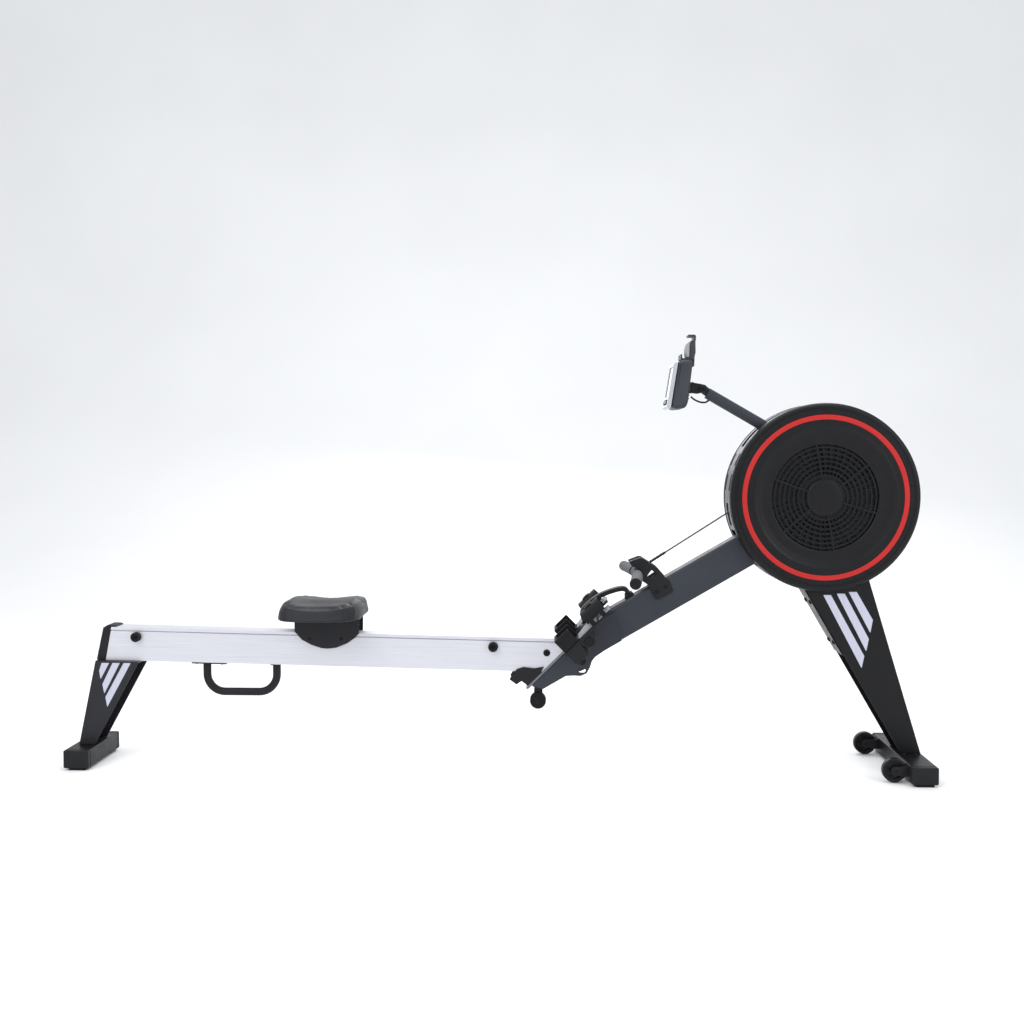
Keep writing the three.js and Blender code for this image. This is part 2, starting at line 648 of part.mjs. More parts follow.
/** Pull belt from the handle over the guide roller to the drum. */
function beltLine() {
  const wrap = (c, r, a, b, n) => arc(c.x, c.z, r, a, b, n);
  const over = BELT.thick / 2 + GAP;
  return [
    [pull.x + 10.5, pull.z + 6.9],
    ...wrap(GUIDE, GUIDE.r + over, 122.8, 108, 3),
    ...wrap(FAN, DRUM_R + over, 108, -20, 14),
  ];
}
add('pull_belt', plate(ribbon(beltLine(), BELT.thick), -BELT.half, BELT.half), 'strap');

// ---- foot supports ---------------------------------------------------------
add('foot_crossbar', rod(...crossbar, 12, -150, 150), 'bright');
add('foot_hoop', join(
  plate(ribbon([
    [270, 424], [265, 434], [264, 446], [276, 465], [292, 482], [313, 496], [342, 508], [372, 515.5],
    [381, 515.5], [388, 508], [393, 501],
  ], 13), -18, 18),
  plate([aboveBoom(261, 0.5), aboveBoom(300, 0.5), aboveBoom(296, 8), aboveBoom(262, 12)], -18, 18),
  plate([aboveBoom(384, 0.5), aboveBoom(406, 0.5), aboveBoom(400, 12), aboveBoom(382, 16)], -18, 18),
), 'plastic');

/** The sole's plate with the block under its heel and the lugs that hold the crossbar. */
function footPlate(side) {
  const across = (a, b) => (side < 0 ? [-b, -a] : [a, b]);
  const lug = [soleAt(50, -3), soleAt(60, -34), soleAt(75, -40), soleAt(90, -34), soleAt(104, -3)];
  return cut(
    join(
      plate([soleAt(2, -5), soleAt(178, -5), soleAt(180, -2.5), soleAt(178, 0), soleAt(2, 0)], ...across(48, 152)),
      plate([soleAt(5, -4), soleAt(4, -40), soleAt(10, -46), soleAt(48, -46), soleAt(54, -4)], ...across(50, 150)),
      plate(lug, ...across(50, 58)),
      plate(lug, ...across(140, 148)),
    ),
    rod(...crossbar, 12.4, ...across(40, 160)),
  );
}

/** Sliding shoe: sole with a wedge towards the toes, and a wall round the heel. */
function flexFoot(side) {
  const across = (a, b) => (side < 0 ? [-b, -a] : [a, b]);
  const sole = [
    soleAt(8, GAP), soleAt(131, GAP), soleAt(133, 12), soleAt(128, 13.5), soleAt(60, 3.5), soleAt(8, 3.5),
  ];
  return cut(
    join(
      plate(sole, ...across(58, 142)),
      plate([soleAt(5, GAP), soleAt(56, GAP), soleAt(56, 43), soleAt(53, 45), soleAt(7, 45)], ...across(50, 150)),
    ),
    plate([soleAt(12, 3.5), soleAt(80, 3.5), soleAt(80, 70), soleAt(12, 70)], ...across(57, 143)),
  );
}

/** Wide moulded strap arched over the instep, from one edge of the plate to the other. */
function footStrap(side) {
  const outer = [[50, 0], [53, 24], [62, 38], [80, 45], [120, 45], [138, 38], [147, 24], [150, 0]];
  const inner = [[146.5, 0], [143.5, 22], [135.5, 35], [119, 41.5], [81, 41.5], [64.5, 35], [56.5, 22], [53.5, 0]];
  const shape = shapeOf([...outer, ...inner]);
  const g = new THREE.ExtrudeGeometry(shape, { depth: 66, bevelEnabled: false });
  const [x, z] = soleAt(106, GAP);
  const k = Math.SQRT1_2;
  g.applyMatrix4(new THREE.Matrix4().set(0, -k, k, x, side, 0, 0, 0, 0, k, k, z, 0, 0, 0, 1));
  return g;
}
for (const [name, side] of [['near', -1], ['far', 1]]) {
  add(`foot_plate_${name}`, footPlate(side), 'plastic');
  add(`flex_foot_${name}`, flexFoot(side), 'pad');
  add(`foot_strap_${name}`, footStrap(side), 'strap');
}

// ---- monitor arm and console -----------------------------------------------
const armDir = [-Math.cos(rad(ARM.tilt)), Math.sin(rad(ARM.tilt))];
const armAt = (s, up = 0) => [ARM.x + armDir[0] * s + armDir[1] * up, ARM.z + armDir[1] * s - armDir[0] * up];
const armTube = new THREE.CylinderGeometry(ARM.r, ARM.r, ARM.end + 16, 18);
armTube.rotateZ(Math.PI / 2);
armTube.rotateY(rad(ARM.tilt));
const [mx, mz] = armAt((ARM.end - 16) / 2);
armTube.translate(mx, 0, mz);
add('monitor_arm', cut(
  join(
    armTube,
    plate([armAt(ARM.end - 10, -12), ...arc(TILT.x, TILT.z, 12, 240, 60, 8), armAt(ARM.end - 10, 12)], -6, 6),
  ),
  rod(ARM.x, ARM.z, 8.4, -40, 40),
  rod(TILT.x, TILT.z, 4.4, -40, 40),
  pipe([[608, 0, 1046], [616, 0, 1054.4], [626, 0, 1064]], 4, 3, 10),
), 'leg');

const lean = Math.tan(rad(9));
const faceX = (z) => 495.5 + (z - 1050) * lean;
add('console_neck', join(
  ...bothSides((s) => plate(
    [[568, 1076], [568, 1106], [596, 1101], ...arc(TILT.x, TILT.z, 12, 60, -110, 8), [586, 1074]],
    s < 0 ? -11 : 6.5,
    s < 0 ? -6.5 : 11,
  )),
  plate([[563.8, 1075], [566.5, 1106], [572, 1106], [572, 1076]], -22, 22),
  rod(TILT.x, TILT.z, 4, -16, 16),
  rod(TILT.x, TILT.z, 11.5, -17, -10.5),
  rod(TILT.x, TILT.z, 11.5, 10.5, 17),
), 'plastic');

const CONSOLE_HALF = 62;
const shell = [
  [faceX(1035) + 12, 1027], [faceX(1160) + 12, 1160], [faceX(1166) + 24, 1166.5], [566, 1166.5],
  [563, 1134], [559, 1100], [553, 1047], [546, 1031],
];
add('console_back', cut(
  plate(shell, -CONSOLE_HALF, CONSOLE_HALF),
  plate([
    [faceX(1042) + 8, 1042], [faceX(1150) + 8, 1150], [faceX(1150) + 14, 1149], [faceX(1042) + 14, 1041],
  ], -CONSOLE_HALF + 14, CONSOLE_HALF - 14),
), 'plastic');
/** Bezel round the display, with the keypad's window under it. */
const bezelContour = [
  [faceX(1030) + 4, 1029], [faceX(1034), 1034], [faceX(1154), 1154], [faceX(1158) + 5, 1159],
  [faceX(1158) + 11.6, 1158], [faceX(1032) + 11.6, 1030],
];
const screenLow = 1064;
const screenHigh = 1148;
add('console_bezel', cut(
  plate(bezelContour, -CONSOLE_HALF, CONSOLE_HALF),
  plate([
    [faceX(screenLow) - 5, screenLow], [faceX(screenHigh) - 5, screenHigh],
    [faceX(screenHigh) + 20, screenHigh], [faceX(screenLow) + 20, screenLow],
  ], -CONSOLE_HALF + 14, CONSOLE_HALF - 14),
  plate([
    [faceX(1042) - 5, 1042], [faceX(1056) - 5, 1056], [faceX(1056) + 20, 1056], [faceX(1042) + 20, 1042],
  ], -39, 39),
), 'satin');
add('console_screen', plate([
  [faceX(screenLow) + 3, screenLow + 0.5], [faceX(screenHigh) + 3, screenHigh - 0.5],
  [faceX(screenHigh) + 9, screenHigh - 0.5], [faceX(screenLow) + 9, screenLow + 0.5],
], -CONSOLE_HALF + 14.5, CONSOLE_HALF - 14.5), 'screen');
add('console_keypad', plate([
  [faceX(1042) - 2, 1042.6], [faceX(1056) - 2, 1055.4], [faceX(1056) + 6.4, 1055.4], [faceX(1042) + 6.4, 1042.6],
], -38.4, 38.4), 'rubber');

add('phone_holder', join(
  plate([
    [534.3, 1168.6], [534.3, 1184], [538, 1184], [539, 1172.4], [560, 1172.4], [563, 1222], [574, 1222],
    [575, 1184], [572, 1168.6],
  ], -34, 34),
  plate([[568.6, 1160], [568.6, 1172], [574.6, 1172], [573.4, 1150], [568, 1150]], -24, 24),
), 'plastic');
add('phone_pad', plate([
  [549.5, 1174], [559.6, 1174], [562.6, 1219], [552.5, 1219],
], -30, 30), 'pad');
add('phone_jaw', join(
  plate([
    [556, 1234.5], [556, 1239], [574, 1239], [577.4, 1236], [577.4, 1222.6], [573, 1222.6], [571, 1234.5],
  ], -26, 26),
  plate([[574.6, 1224], [577.4, 1224], [578.4, 1188], [575.6, 1188]], -14, 14),
), 'plastic');
add('monitor_cable', pipe([
  [567, 0, 1066], [578, 0, 1057], [590, 0, 1051.5], [603, 0, 1049], [611, 0, 1050], [616, 0, 1054],
  [621, 0, 1059],
], 2.5, 10, 8), 'rubber');

export default root;
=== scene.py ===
"""Rowing machine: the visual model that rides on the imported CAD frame.

Helpers take millimetres; everything is scaled to metres when a piece is made.
Axes: +X from the rear foot to the fan, -Y is the near side, +Z is up.
"""
import json
import math

import bmesh
import bpy
from mathutils import Matrix, Vector, geometry


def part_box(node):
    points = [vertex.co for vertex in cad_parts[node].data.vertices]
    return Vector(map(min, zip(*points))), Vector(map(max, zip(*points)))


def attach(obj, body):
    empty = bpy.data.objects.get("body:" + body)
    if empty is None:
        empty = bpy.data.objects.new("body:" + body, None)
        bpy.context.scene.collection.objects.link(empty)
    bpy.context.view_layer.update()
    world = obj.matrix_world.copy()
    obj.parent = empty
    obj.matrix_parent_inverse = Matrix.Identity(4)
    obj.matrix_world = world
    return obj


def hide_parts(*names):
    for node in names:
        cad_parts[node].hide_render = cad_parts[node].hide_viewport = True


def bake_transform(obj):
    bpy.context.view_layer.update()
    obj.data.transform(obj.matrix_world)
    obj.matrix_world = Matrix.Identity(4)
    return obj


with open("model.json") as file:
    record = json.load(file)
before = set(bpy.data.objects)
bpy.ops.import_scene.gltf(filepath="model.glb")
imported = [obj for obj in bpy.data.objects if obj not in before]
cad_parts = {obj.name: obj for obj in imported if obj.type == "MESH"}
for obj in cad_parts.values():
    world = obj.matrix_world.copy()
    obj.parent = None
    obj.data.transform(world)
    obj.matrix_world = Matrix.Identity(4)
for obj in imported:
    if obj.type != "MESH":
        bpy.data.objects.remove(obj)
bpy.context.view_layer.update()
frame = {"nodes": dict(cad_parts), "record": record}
NODES = frame["nodes"]
BODY_OF = {n: b for b, names in frame["record"]["behaviour"]["bodies"].items() for n in names}

MM = 0.001
HALF = math.sqrt(0.5)

# ---- layout, in millimetres (the CAD model's own dimensions) ------------------
FAN = (936, 780)
RIM = 265
GUIDE = (706, 738)
DRUM_R = 44
BOOM = dict(x=500, z=499, tilt=math.radians(30.3), tall=94)
RAIL = dict(x=-1130.6, z=302.9, tilt=math.radians(-1.19), tall=97.5)
SEAT = dict(x=-490, half_x=121, half_y=157, low=430.6, top=476)
HANDLE = dict(x=414, z=560, half=256)
ARM = dict(x=860, z=932.7, tilt=math.radians(30.1), end=285)
TILT = (600.4, 1087.6)
SOLE = (207, 347)


# ---- camera ------------------------------------------------------------------
def make_camera():
    data = bpy.data.cameras.new("camera")
    data.lens = 40.31
    data.sensor_width = 36
    camera = bpy.data.objects.new("camera", data)
    camera.location = (0.17844, -3.30, 0.9006)
    camera.rotation_euler = (math.radians(90 - 2.866), 0, math.radians(2.112))
    bpy.context.scene.collection.objects.link(camera)
    bpy.context.scene.camera = camera


# ---- materials ---------------------------------------------------------------
def srgb(r, g, b):
    """Colour from 0 to 255 values, as the linear numbers the shader takes."""
    def linear(c):
        c /= 255
        return c / 12.92 if c <= 0.04045 else ((c + 0.055) / 1.055) ** 2.4
    return (linear(r), linear(g), linear(b))


class Nodes:
    """A material's node tree, with short calls for the nodes used here."""

    def __init__(self, name):
        self.material = bpy.data.materials.new(name)
        self.material.use_nodes = True
        self.tree = self.material.node_tree
        self.shader = self.tree.nodes["Principled BSDF"]
        self.place = self.tree.nodes.new("ShaderNodeTexCoord").outputs["Object"]

    def add(self, kind, **sockets):
        node = self.tree.nodes.new(kind)
        for key, value in sockets.items():
            self.put(node.inputs[key.replace("_", " ")], value)
        return node

    def put(self, socket, value):
        if isinstance(value, bpy.types.NodeSocket):
            self.tree.links.new(value, socket)
        else:
            socket.default_value = value

    def scaled(self, scale, turn=(0, 0, 0)):
        node = self.add("ShaderNodeMapping", Vector=self.place)
        node.inputs["Scale"].default_value = scale
        node.inputs["Rotation"].default_value = turn
        return node.outputs["Vector"]

    def noise(self, scale, detail=3, rough=0.55, at=None):
        node = self.add(
            "ShaderNodeTexNoise", Vector=at or self.place, Scale=scale, Detail=detail, Roughness=rough
        )
        return node.outputs["Fac"]

    def span(self, value, low, high, start=0.3, end=0.7):
        node = self.add("ShaderNodeMapRange", Value=value)
        for key, number in (("From Min", start), ("From Max", end), ("To Min", low), ("To Max", high)):
            node.inputs[key].default_value = number
        return node.outputs["Result"]

    def mix(self, share, first, second):
        node = self.tree.nodes.new("ShaderNodeMix")
        node.data_type = "RGBA"
        self.put(node.inputs["Factor"], share)
        for socket, colour in ((node.inputs[6], first), (node.inputs[7], second)):
            self.put(socket, (*colour, 1) if isinstance(colour, tuple) else colour)
        return node.outputs[2]

    def maths(self, operation, a, b):
        node = self.tree.nodes.new("ShaderNodeMath")
        node.operation = operation
        self.put(node.inputs[0], a)
        self.put(node.inputs[1], b)
        return node.outputs[0]

    def bump(self, height, distance, strength=1.0, after=None):
        node = self.add("ShaderNodeBump", Height=height, Distance=distance, Strength=strength)
        if after is not None:
            self.put(node.inputs["Normal"], after)
        return node.outputs["Normal"]

    def finish(self, colour, roughness, normal, metal=0.0, **uniform):
        self.put(self.shader.inputs["Base Color"], colour)
        self.put(self.shader.inputs["Roughness"], roughness)
        self.put(self.shader.inputs["Normal"], normal)
        self.shader.inputs["Metallic"].default_value = metal
        for key, value in uniform.items():
            self.shader.inputs[key.replace("_", " ")].default_value = value
        return self.material


def shade(colour, k):
    return tuple(min(1.0, c * k) for c in colour)


def coated(name, colour, rough=0.42, peel=0.00012, dust=0.10, metal=0.0, coat=0.0):
    """Powder-coated or painted steel: orange peel, faint dust and small rubbed marks."""
    n = Nodes(name)
    broad = n.noise(5, 4)
    patch = n.noise(38, 5)
    speck = n.noise(420, 2)
    base = n.mix(n.span(broad, 0, 1), shade(colour, 1 - dust), shade(colour, 1 + dust))
    base = n.mix(n.span(patch, 0, 0.5, 0.55, 0.8), base, shade(colour, 1.25))
    roughness = n.maths("ADD", n.span(patch, rough - 0.05, rough + 0.07), n.span(speck, -0.02, 0.03))
    wave = n.bump(n.noise(260, 2), peel)
    normal = n.bump(speck, peel * 0.5, after=wave)
    return n.finish(
        base, roughness, normal, metal, Coat_Weight=coat, Coat_Roughness=0.2, Specular_IOR_Level=0.25
    )


def moulded(name, colour, rough=0.5, grain=0.00008, cells=900, vary=0.12):
    """Injection-moulded plastic with a spark-eroded grain."""
    n = Nodes(name)
    cell = n.add("ShaderNodeTexVoronoi", Vector=n.place, Scale=cells).outputs["Distance"]
    broad = n.noise(9, 4)
    rubbed = n.noise(65, 6, 0.7)
    base = n.mix(n.span(broad, 0, 1), shade(colour, 1 - vary), shade(colour, 1 + vary))
    base = n.mix(n.span(rubbed, 0, 0.35, 0.6, 0.8), base, shade(colour, 1.5))
    roughness = n.maths("ADD", n.span(rubbed, rough - 0.04, rough + 0.08), n.span(broad, -0.02, 0.02))
    normal = n.bump(cell, grain, after=n.bump(n.noise(300, 3), grain))
    return n.finish(base, roughness, normal, Specular_IOR_Level=0.22)


def rubbery(name, colour, rough=0.8, grain=0.0002):
    """Rubber or closed-cell foam: matt, dusty, with a fine pitted skin."""
    n = Nodes(name)
    pits = n.add("ShaderNodeTexVoronoi", Vector=n.place, Scale=1400).outputs["Distance"]
    dust = n.noise(24, 6, 0.65)
    base = n.mix(n.span(dust, 0, 1, 0.4, 0.75), colour, shade(colour, 1.45))
    roughness = n.span(dust, rough - 0.08, min(1, rough + 0.08))
    normal = n.bump(pits, grain, after=n.bump(n.noise(160, 4), grain * 1.5))
    return n.finish(
        base, roughness, normal, Sheen_Weight=0.04, Sheen_Roughness=0.6, Specular_IOR_Level=0.2
    )


def leathery(name, colour):
    """Skinned foam of a seat: pebbled grain over a soft sheen."""
    n = Nodes(name)
    pebble = n.add("ShaderNodeTexVoronoi", Vector=n.place, Scale=520)
    pebble.feature = "SMOOTH_F1"
    crease = n.noise(90, 6, 0.7)
    worn = n.noise(14, 4)
    base = n.mix(n.span(worn, 0, 1), shade(colour, 0.88), shade(colour, 1.18))
    base = n.mix(n.span(pebble.outputs["Distance"], 0, 0.4, 0.2, 0.6), base, shade(colour, 0.7))
    roughness = n.maths("ADD", n.span(worn, 0.42, 0.56), n.span(crease, -0.04, 0.05))
    normal = n.bump(pebble.outputs["Distance"], 0.00018, after=n.bump(crease, 0.00025))
    return n.finish(base, roughness, normal, Sheen_Weight=0.02, Specular_IOR_Level=0.2)


def brushed(name, colour, rough=0.33, along=(6, 500, 500), metal=0.85, depth=0.00004):
    """Brushed or extruded metal: long fine streaks, smudges and a few scratches."""
    n = Nodes(name)
    streak = n.noise(1, 3, 0.6, n.scaled(along))
    scratch = n.noise(1, 2, 0.5, n.scaled(tuple(a * 0.35 for a in along), (0.05, 0.0, 0.3)))
    smudge = n.noise(11, 5, 0.6)
    base = n.mix(n.span(streak, 0, 1), shade(colour, 0.92), shade(colour, 1.05))
    base = n.mix(n.span(scratch, 0, 0.5, 0.62, 0.75), base, shade(colour, 0.8))
    roughness = n.maths("ADD", n.span(streak, rough - 0.06, rough + 0.06), n.span(smudge, -0.05, 0.06))
    normal = n.bump(streak, depth, after=n.bump(smudge, 0.0001))
    return n.finish(base, roughness, normal, metal)


def woven(name, colour, pitch=1400, depth=0.0003):
    """Webbing: two crossed sets of threads, painted darker in the gaps between threads and lighter on their
    crowns (painted shade and painted highlight).
    """
    n = Nodes(name)
    waves = []
    for direction in ("X", "Y"):
        wave = n.add("ShaderNodeTexWave", Vector=n.place, Scale=pitch / 6.283, Distortion=0.6)
        wave.bands_direction = direction
        waves.append(wave.outputs["Fac"])
    weave_height_and_shade = n.maths("MULTIPLY", waves[0], waves[1])
    fuzz = n.noise(700, 4)
    # Painted shade and highlight: the weave's low gaps are darkened and its raised crowns lightened in the
    # colour.
    base = n.mix(n.span(weave_height_and_shade, 0, 1, 0, 1), shade(colour, 0.6), shade(colour, 1.3))
    base = n.mix(n.span(n.noise(20, 4), 0, 0.4), base, shade(colour, 1.5))
    roughness = n.span(fuzz, 0.7, 0.9)
    normal = n.bump(weave_height_and_shade, depth, after=n.bump(fuzz, 0.0001))
    return n.finish(base, roughness, normal, Sheen_Weight=0.1, Specular_IOR_Level=0.2)


def glassy(name, colour):
    """Dark display behind glass: faint segments' grid, smears and dust."""
    n = Nodes(name)
    cells = n.add("ShaderNodeTexBrick", Vector=n.scaled((1, 1, 1), (0, math.radians(90), 0)), Scale=90)
    for key, value in (("Color1", colour), ("Color2", shade(colour, 1.3)), ("Mortar", shade(colour, 0.6))):
        cells.inputs[key].default_value = (*value, 1)
    smear = n.noise(30, 6, 0.7)
    base = n.mix(n.span(smear, 0, 0.4, 0.5, 0.8), cells.outputs["Color"], shade(colour, 2))
    return n.finish(base, n.span(smear, 0.06, 0.2), n.bump(smear, 0.00002), Coat_Weight=0.6)


def make_materials():
    return dict(
        frame=coated("frame_paint", srgb(49, 52, 59), 0.42, metal=0.1),
        black=coated("black_steel", srgb(13, 13, 15), 0.40, metal=0.05),
        leg=coated("leg_paint", srgb(34, 34, 38), 0.38, metal=0.05),
        cover=moulded("cover_plastic", srgb(16, 16, 19), 0.42),
        band=coated("band_paint", srgb(62, 65, 71), 0.36, metal=0.2),
        plastic=moulded("black_plastic", srgb(25, 25, 28), 0.50),
        shell=moulded("shell_plastic", srgb(56, 58, 64), 0.48),
        dark=moulded("dark_plastic", srgb(14, 14, 16), 0.56),
        red=moulded("red_plastic", srgb(176, 38, 36), 0.38, 0.00004, vary=0.06),
        rubber=rubbery("rubber", srgb(18, 18, 20)),
        tyre=moulded("wheel_plastic", srgb(17, 17, 19), 0.40, 0.00003),
        grip=rubbery("grip_foam", srgb(80, 82, 86), 0.72, 0.00028),
        seat=leathery("seat_skin", srgb(34, 34, 38)),
        silver=brushed("rail_silver", srgb(206, 206, 213), 0.42, metal=0.45),
        stripe=brushed("stripe_silver", srgb(190, 191, 207), 0.36, (300, 300, 8), 0.35),
        bright=brushed("bright_steel", srgb(120, 122, 127), 0.30, (60, 500, 60), 0.9),
        # The fan's metal is given a dark colour as painted shade: it stands for the shade inside the closed
        # cage, seen through the grille.
        fan=brushed("fan_metal", srgb(40, 41, 45), 0.50, (60, 60, 60), 0.3, 0.0001),
        belt=woven("belt_webbing", srgb(30, 31, 34)),
        strap=moulded("strap_rubber", srgb(14, 14, 16), 0.62, 0.0002, 500),
        grey=moulded("grey_plastic", srgb(150, 152, 156), 0.45),
        pad=rubbery("grey_pad", srgb(142, 144, 147), 0.7),
        screen=glassy("screen_glass", srgb(16, 22, 25)),
        bezel=coated("bezel_paint", srgb(184, 186, 192), 0.32, 0.00003, 0.04, metal=0.4),
    )


# ---- flat shapes -------------------------------------------------------------
def arc(x, y, r, start, end, n=12):
    steps = [math.radians(start + (end - start) * i / n) for i in range(n + 1)]
    return [(x + r * math.cos(t), y + r * math.sin(t)) for t in steps]


def circle(x, y, r, n=32):
    return arc(x, y, r, 0, 360 - 360 / n, n - 1)


def fillet(points, radius, n=4, closed=True):
    """Rounds each corner of a polyline; radius is one number or one for each corner."""
    out = []
    count = len(points)
    for i, p in enumerate(points):
        if not closed and i in (0, count - 1):
            out.append(tuple(p))
            continue
        r = radius[i] if isinstance(radius, (list, tuple)) else radius
        p = Vector(p)
        a, b = Vector(points[i - 1]) - p, Vector(points[(i + 1) % count]) - p
        la, lb = a.length, b.length
        if r <= 0 or la < 1e-6 or lb < 1e-6:
            out.append(tuple(p))
            continue
        half = a.angle(b) / 2
        if half > math.radians(88):
            out.append(tuple(p))
            continue
        back = min(r / math.tan(max(half, 0.05)), 0.48 * la, 0.48 * lb)
        s, e = p + a / la * back, p + b / lb * back
        for k in range(n + 1):
            t = k / n
            out.append(tuple((1 - t) ** 2 * s + 2 * t * (1 - t) * p + t * t * e))
    return out


def area(points):
    return sum(
        a[0] * b[1] - b[0] * a[1] for a, b in zip(points, points[1:] + points[:1])
    ) / 2


def inset(points, distance):
    """A closed contour moved inwards by distance, corner by corner."""
    sign = 1 if area(points) > 0 else -1
    out = []
    for i, p in enumerate(points):
        a = Vector(p) - Vector(points[i - 1])
        b = Vector(points[(i + 1) % len(points)]) - Vector(p)
        if a.length < 1e-9 or b.length < 1e-9:
            out.append(p)
            continue
        na = Vector((-a.y, a.x)).normalized() * sign
        nb = Vector((-b.y, b.x)).normalized() * sign
        m = na + nb
        scale = distance / max(0.35, m.length_squared / 2) if m.length > 1e-6 else 0
        out.append((p[0] + m.x * scale, p[1] + m.y * scale))
    return out


# ---- solids ------------------------------------------------------------------
def side_view(u, v, w):
    return (u, w, v)


def plate(bm, contour, low, high, holes=(), edge=1.0, place=side_view):
    """A contour with rounded rims from low to high, by default a side view with its thickness in Y."""
    edge = min(edge, (high - low) * 0.45)
    levels = [(low, edge), (low + edge * 0.3, edge * 0.3), (low + edge, 0)]
    levels += [(high - edge, 0), (high - edge * 0.3, edge * 0.3), (high, edge)]
    caps = {0: [], len(levels) - 1: []}
    for k, loop in enumerate([contour, *holes]):
        loop = [tuple(p) for p in loop]
        rows = []
        for i, (w, pull) in enumerate(levels):
            ring = inset(loop, pull if k == 0 else -pull) if pull else loop
            rows.append([bm.verts.new(place(u, v, w)) for u, v in ring])
            if i in caps:
                caps[i].append((ring, rows[-1]))
        count = len(loop)
        for a, b in zip(rows, rows[1:]):
            for i in range(count):
                j = (i + 1) % count
                bm.faces.new((a[i], a[j], b[j], b[i]))
    for loops in caps.values():
        flat = [[Vector((u, v, 0)) for u, v in ring] for ring, _ in loops]
        verts = [vert for _, row in loops for vert in row]
        for tri in geometry.tessellate_polygon(flat):
            if len(set(tri)) == 3:
                bm.faces.new([verts[i] for i in tri])


def lathe(bm, profile, x=0, z=0, steps=96, loop=True, y=0, start=0.0):
    """A profile of (radius, y) turned about an axis along Y."""
    turns = [math.radians(start) + 2 * math.pi * i / steps for i in range(steps)]
    rows = []
    for r, dy in profile:
        if r < 1e-6:
            rows.append([bm.verts.new((x, y + dy, z))])
        else:
            rows.append([bm.verts.new((x + r * math.cos(t), y + dy, z + r * math.sin(t))) for t in turns])
    pairs = list(zip(rows, rows[1:])) + ([(rows[-1], rows[0])] if loop else [])
    for a, b in pairs:
        for i in range(steps):
            j = (i + 1) % steps
            quad = [a[i % len(a)], a[j % len(a)], b[j % len(b)], b[i % len(b)]]
            face = [v for k, v in enumerate(quad) if v not in quad[:k]]
            if len(face) > 2:
                bm.faces.new(face)


def smooth_path(points, per=6):
    """A Catmull-Rom line through the points."""
    pts = [Vector(p) for p in points]
    pts = [2 * pts[0] - pts[1], *pts, 2 * pts[-1] - pts[-2]]
    out = []
    for a, b, c, d in zip(pts, pts[1:], pts[2:], pts[3:]):
        for k in range(per):
            t = k / per
            out.append(0.5 * (
                2 * b + (c - a) * t + (2 * a - 5 * b + 4 * c - d) * t * t
                + (3 * b - a - 3 * c + d) * t ** 3
            ))
    return [*out, pts[-2]]


def tube(bm, path, radius, sides=20, dome=1.0):
    """A round bar along a path, its ends rounded over by dome; radius may be one number for each point."""
    pts = [Vector(p) for p in path]
    radii = list(radius) if isinstance(radius, (list, tuple)) else [radius] * len(pts)
    ahead = [(pts[min(i + 1, len(pts) - 1)] - pts[max(i - 1, 0)]).normalized() for i in range(len(pts))]
    side = ahead[0].orthogonal().normalized()
    rows = []

    def ring(p, r, direction):
        up = direction.cross(side)
        turns = [2 * math.pi * k / sides for k in range(sides)]
        rows.append([bm.verts.new(p + r * (math.cos(t) * side + math.sin(t) * up)) for t in turns])

    ring(pts[0], radii[0] - dome, ahead[0])
    ring(pts[0] + ahead[0] * dome * 0.3, radii[0] - dome * 0.3, ahead[0])
    for i, (p, r) in enumerate(zip(pts, radii)):
        side = (side - ahead[i] * side.dot(ahead[i])).normalized()
        if i == 0:
            p = p + ahead[0] * dome
        elif i == len(pts) - 1:
            p = p - ahead[-1] * dome
        ring(p, r, ahead[i])
    ring(pts[-1] - ahead[-1] * dome * 0.3, radii[-1] - dome * 0.3, ahead[-1])
    ring(pts[-1], radii[-1] - dome, ahead[-1])
    for a, b in zip(rows, rows[1:]):
        for i in range(sides):
            j = (i + 1) % sides
            bm.faces.new((a[i], a[j], b[j], b[i]))
    bm.faces.new(rows[0])
    bm.faces.new(rows[-1])


def screw(bm, at, normal, r=5, tall=2.2, socket=0.5):
    """A button-head screw with a hexagon socket, standing on a surface."""
    normal = Vector(normal).normalized()
    u = normal.orthogonal().normalized()
    v = normal.cross(u)
    at = Vector(at)
    key = r * socket
    profile = [(r, -1, 40), (r, tall * 0.35, 40), (r * 0.85, tall * 0.8, 40), (r * 0.6, tall, 40),
               (key, tall, 6), (key, tall * 0.2, 6)]
    steps = 24
    rows = []
    for radius, h, sides in profile:
        row = []
        for i in range(steps):
            t = 2 * math.pi * i / steps
            k = radius
            if sides == 6:
                k = radius * math.cos(math.pi / 6) / math.cos((t % (math.pi / 3)) - math.pi / 6)
            row.append(bm.verts.new(at + normal * h + k * (math.cos(t) * u + math.sin(t) * v)))
        rows.append(row)
    for a, b in zip(rows, rows[1:]):
        for i in range(steps):
            j = (i + 1) % steps
            bm.faces.new((a[i], a[j], b[j], b[i]))
    bm.faces.new(rows[0])
    bm.faces.new(rows[-1])


def mirrored(bm, start=0):
    """Adds the far-side copy of every vertex and face from index start on."""
    bm.verts.index_update()
    faces = list(bm.faces)[start:]
    twin = {}
    for face in faces:
        for v in face.verts:
            if v not in twin:
                twin[v] = bm.verts.new((v.co.x, -v.co.y, v.co.z))
    for face in faces:
        bm.faces.new([twin[v] for v in reversed(face.verts)])


# ---- pieces ------------------------------------------------------------------
def settle(bm, sharp):
    """Outward faces, smooth shading, and hard edges where the surface turns sharply."""
    bmesh.ops.recalc_face_normals(bm, faces=bm.faces)
    for face in bm.faces:
        face.smooth = True
    limit = math.radians(sharp)
    for e in bm.edges:
        e.smooth = len(e.link_faces) == 2 and e.calc_face_angle(0) < limit


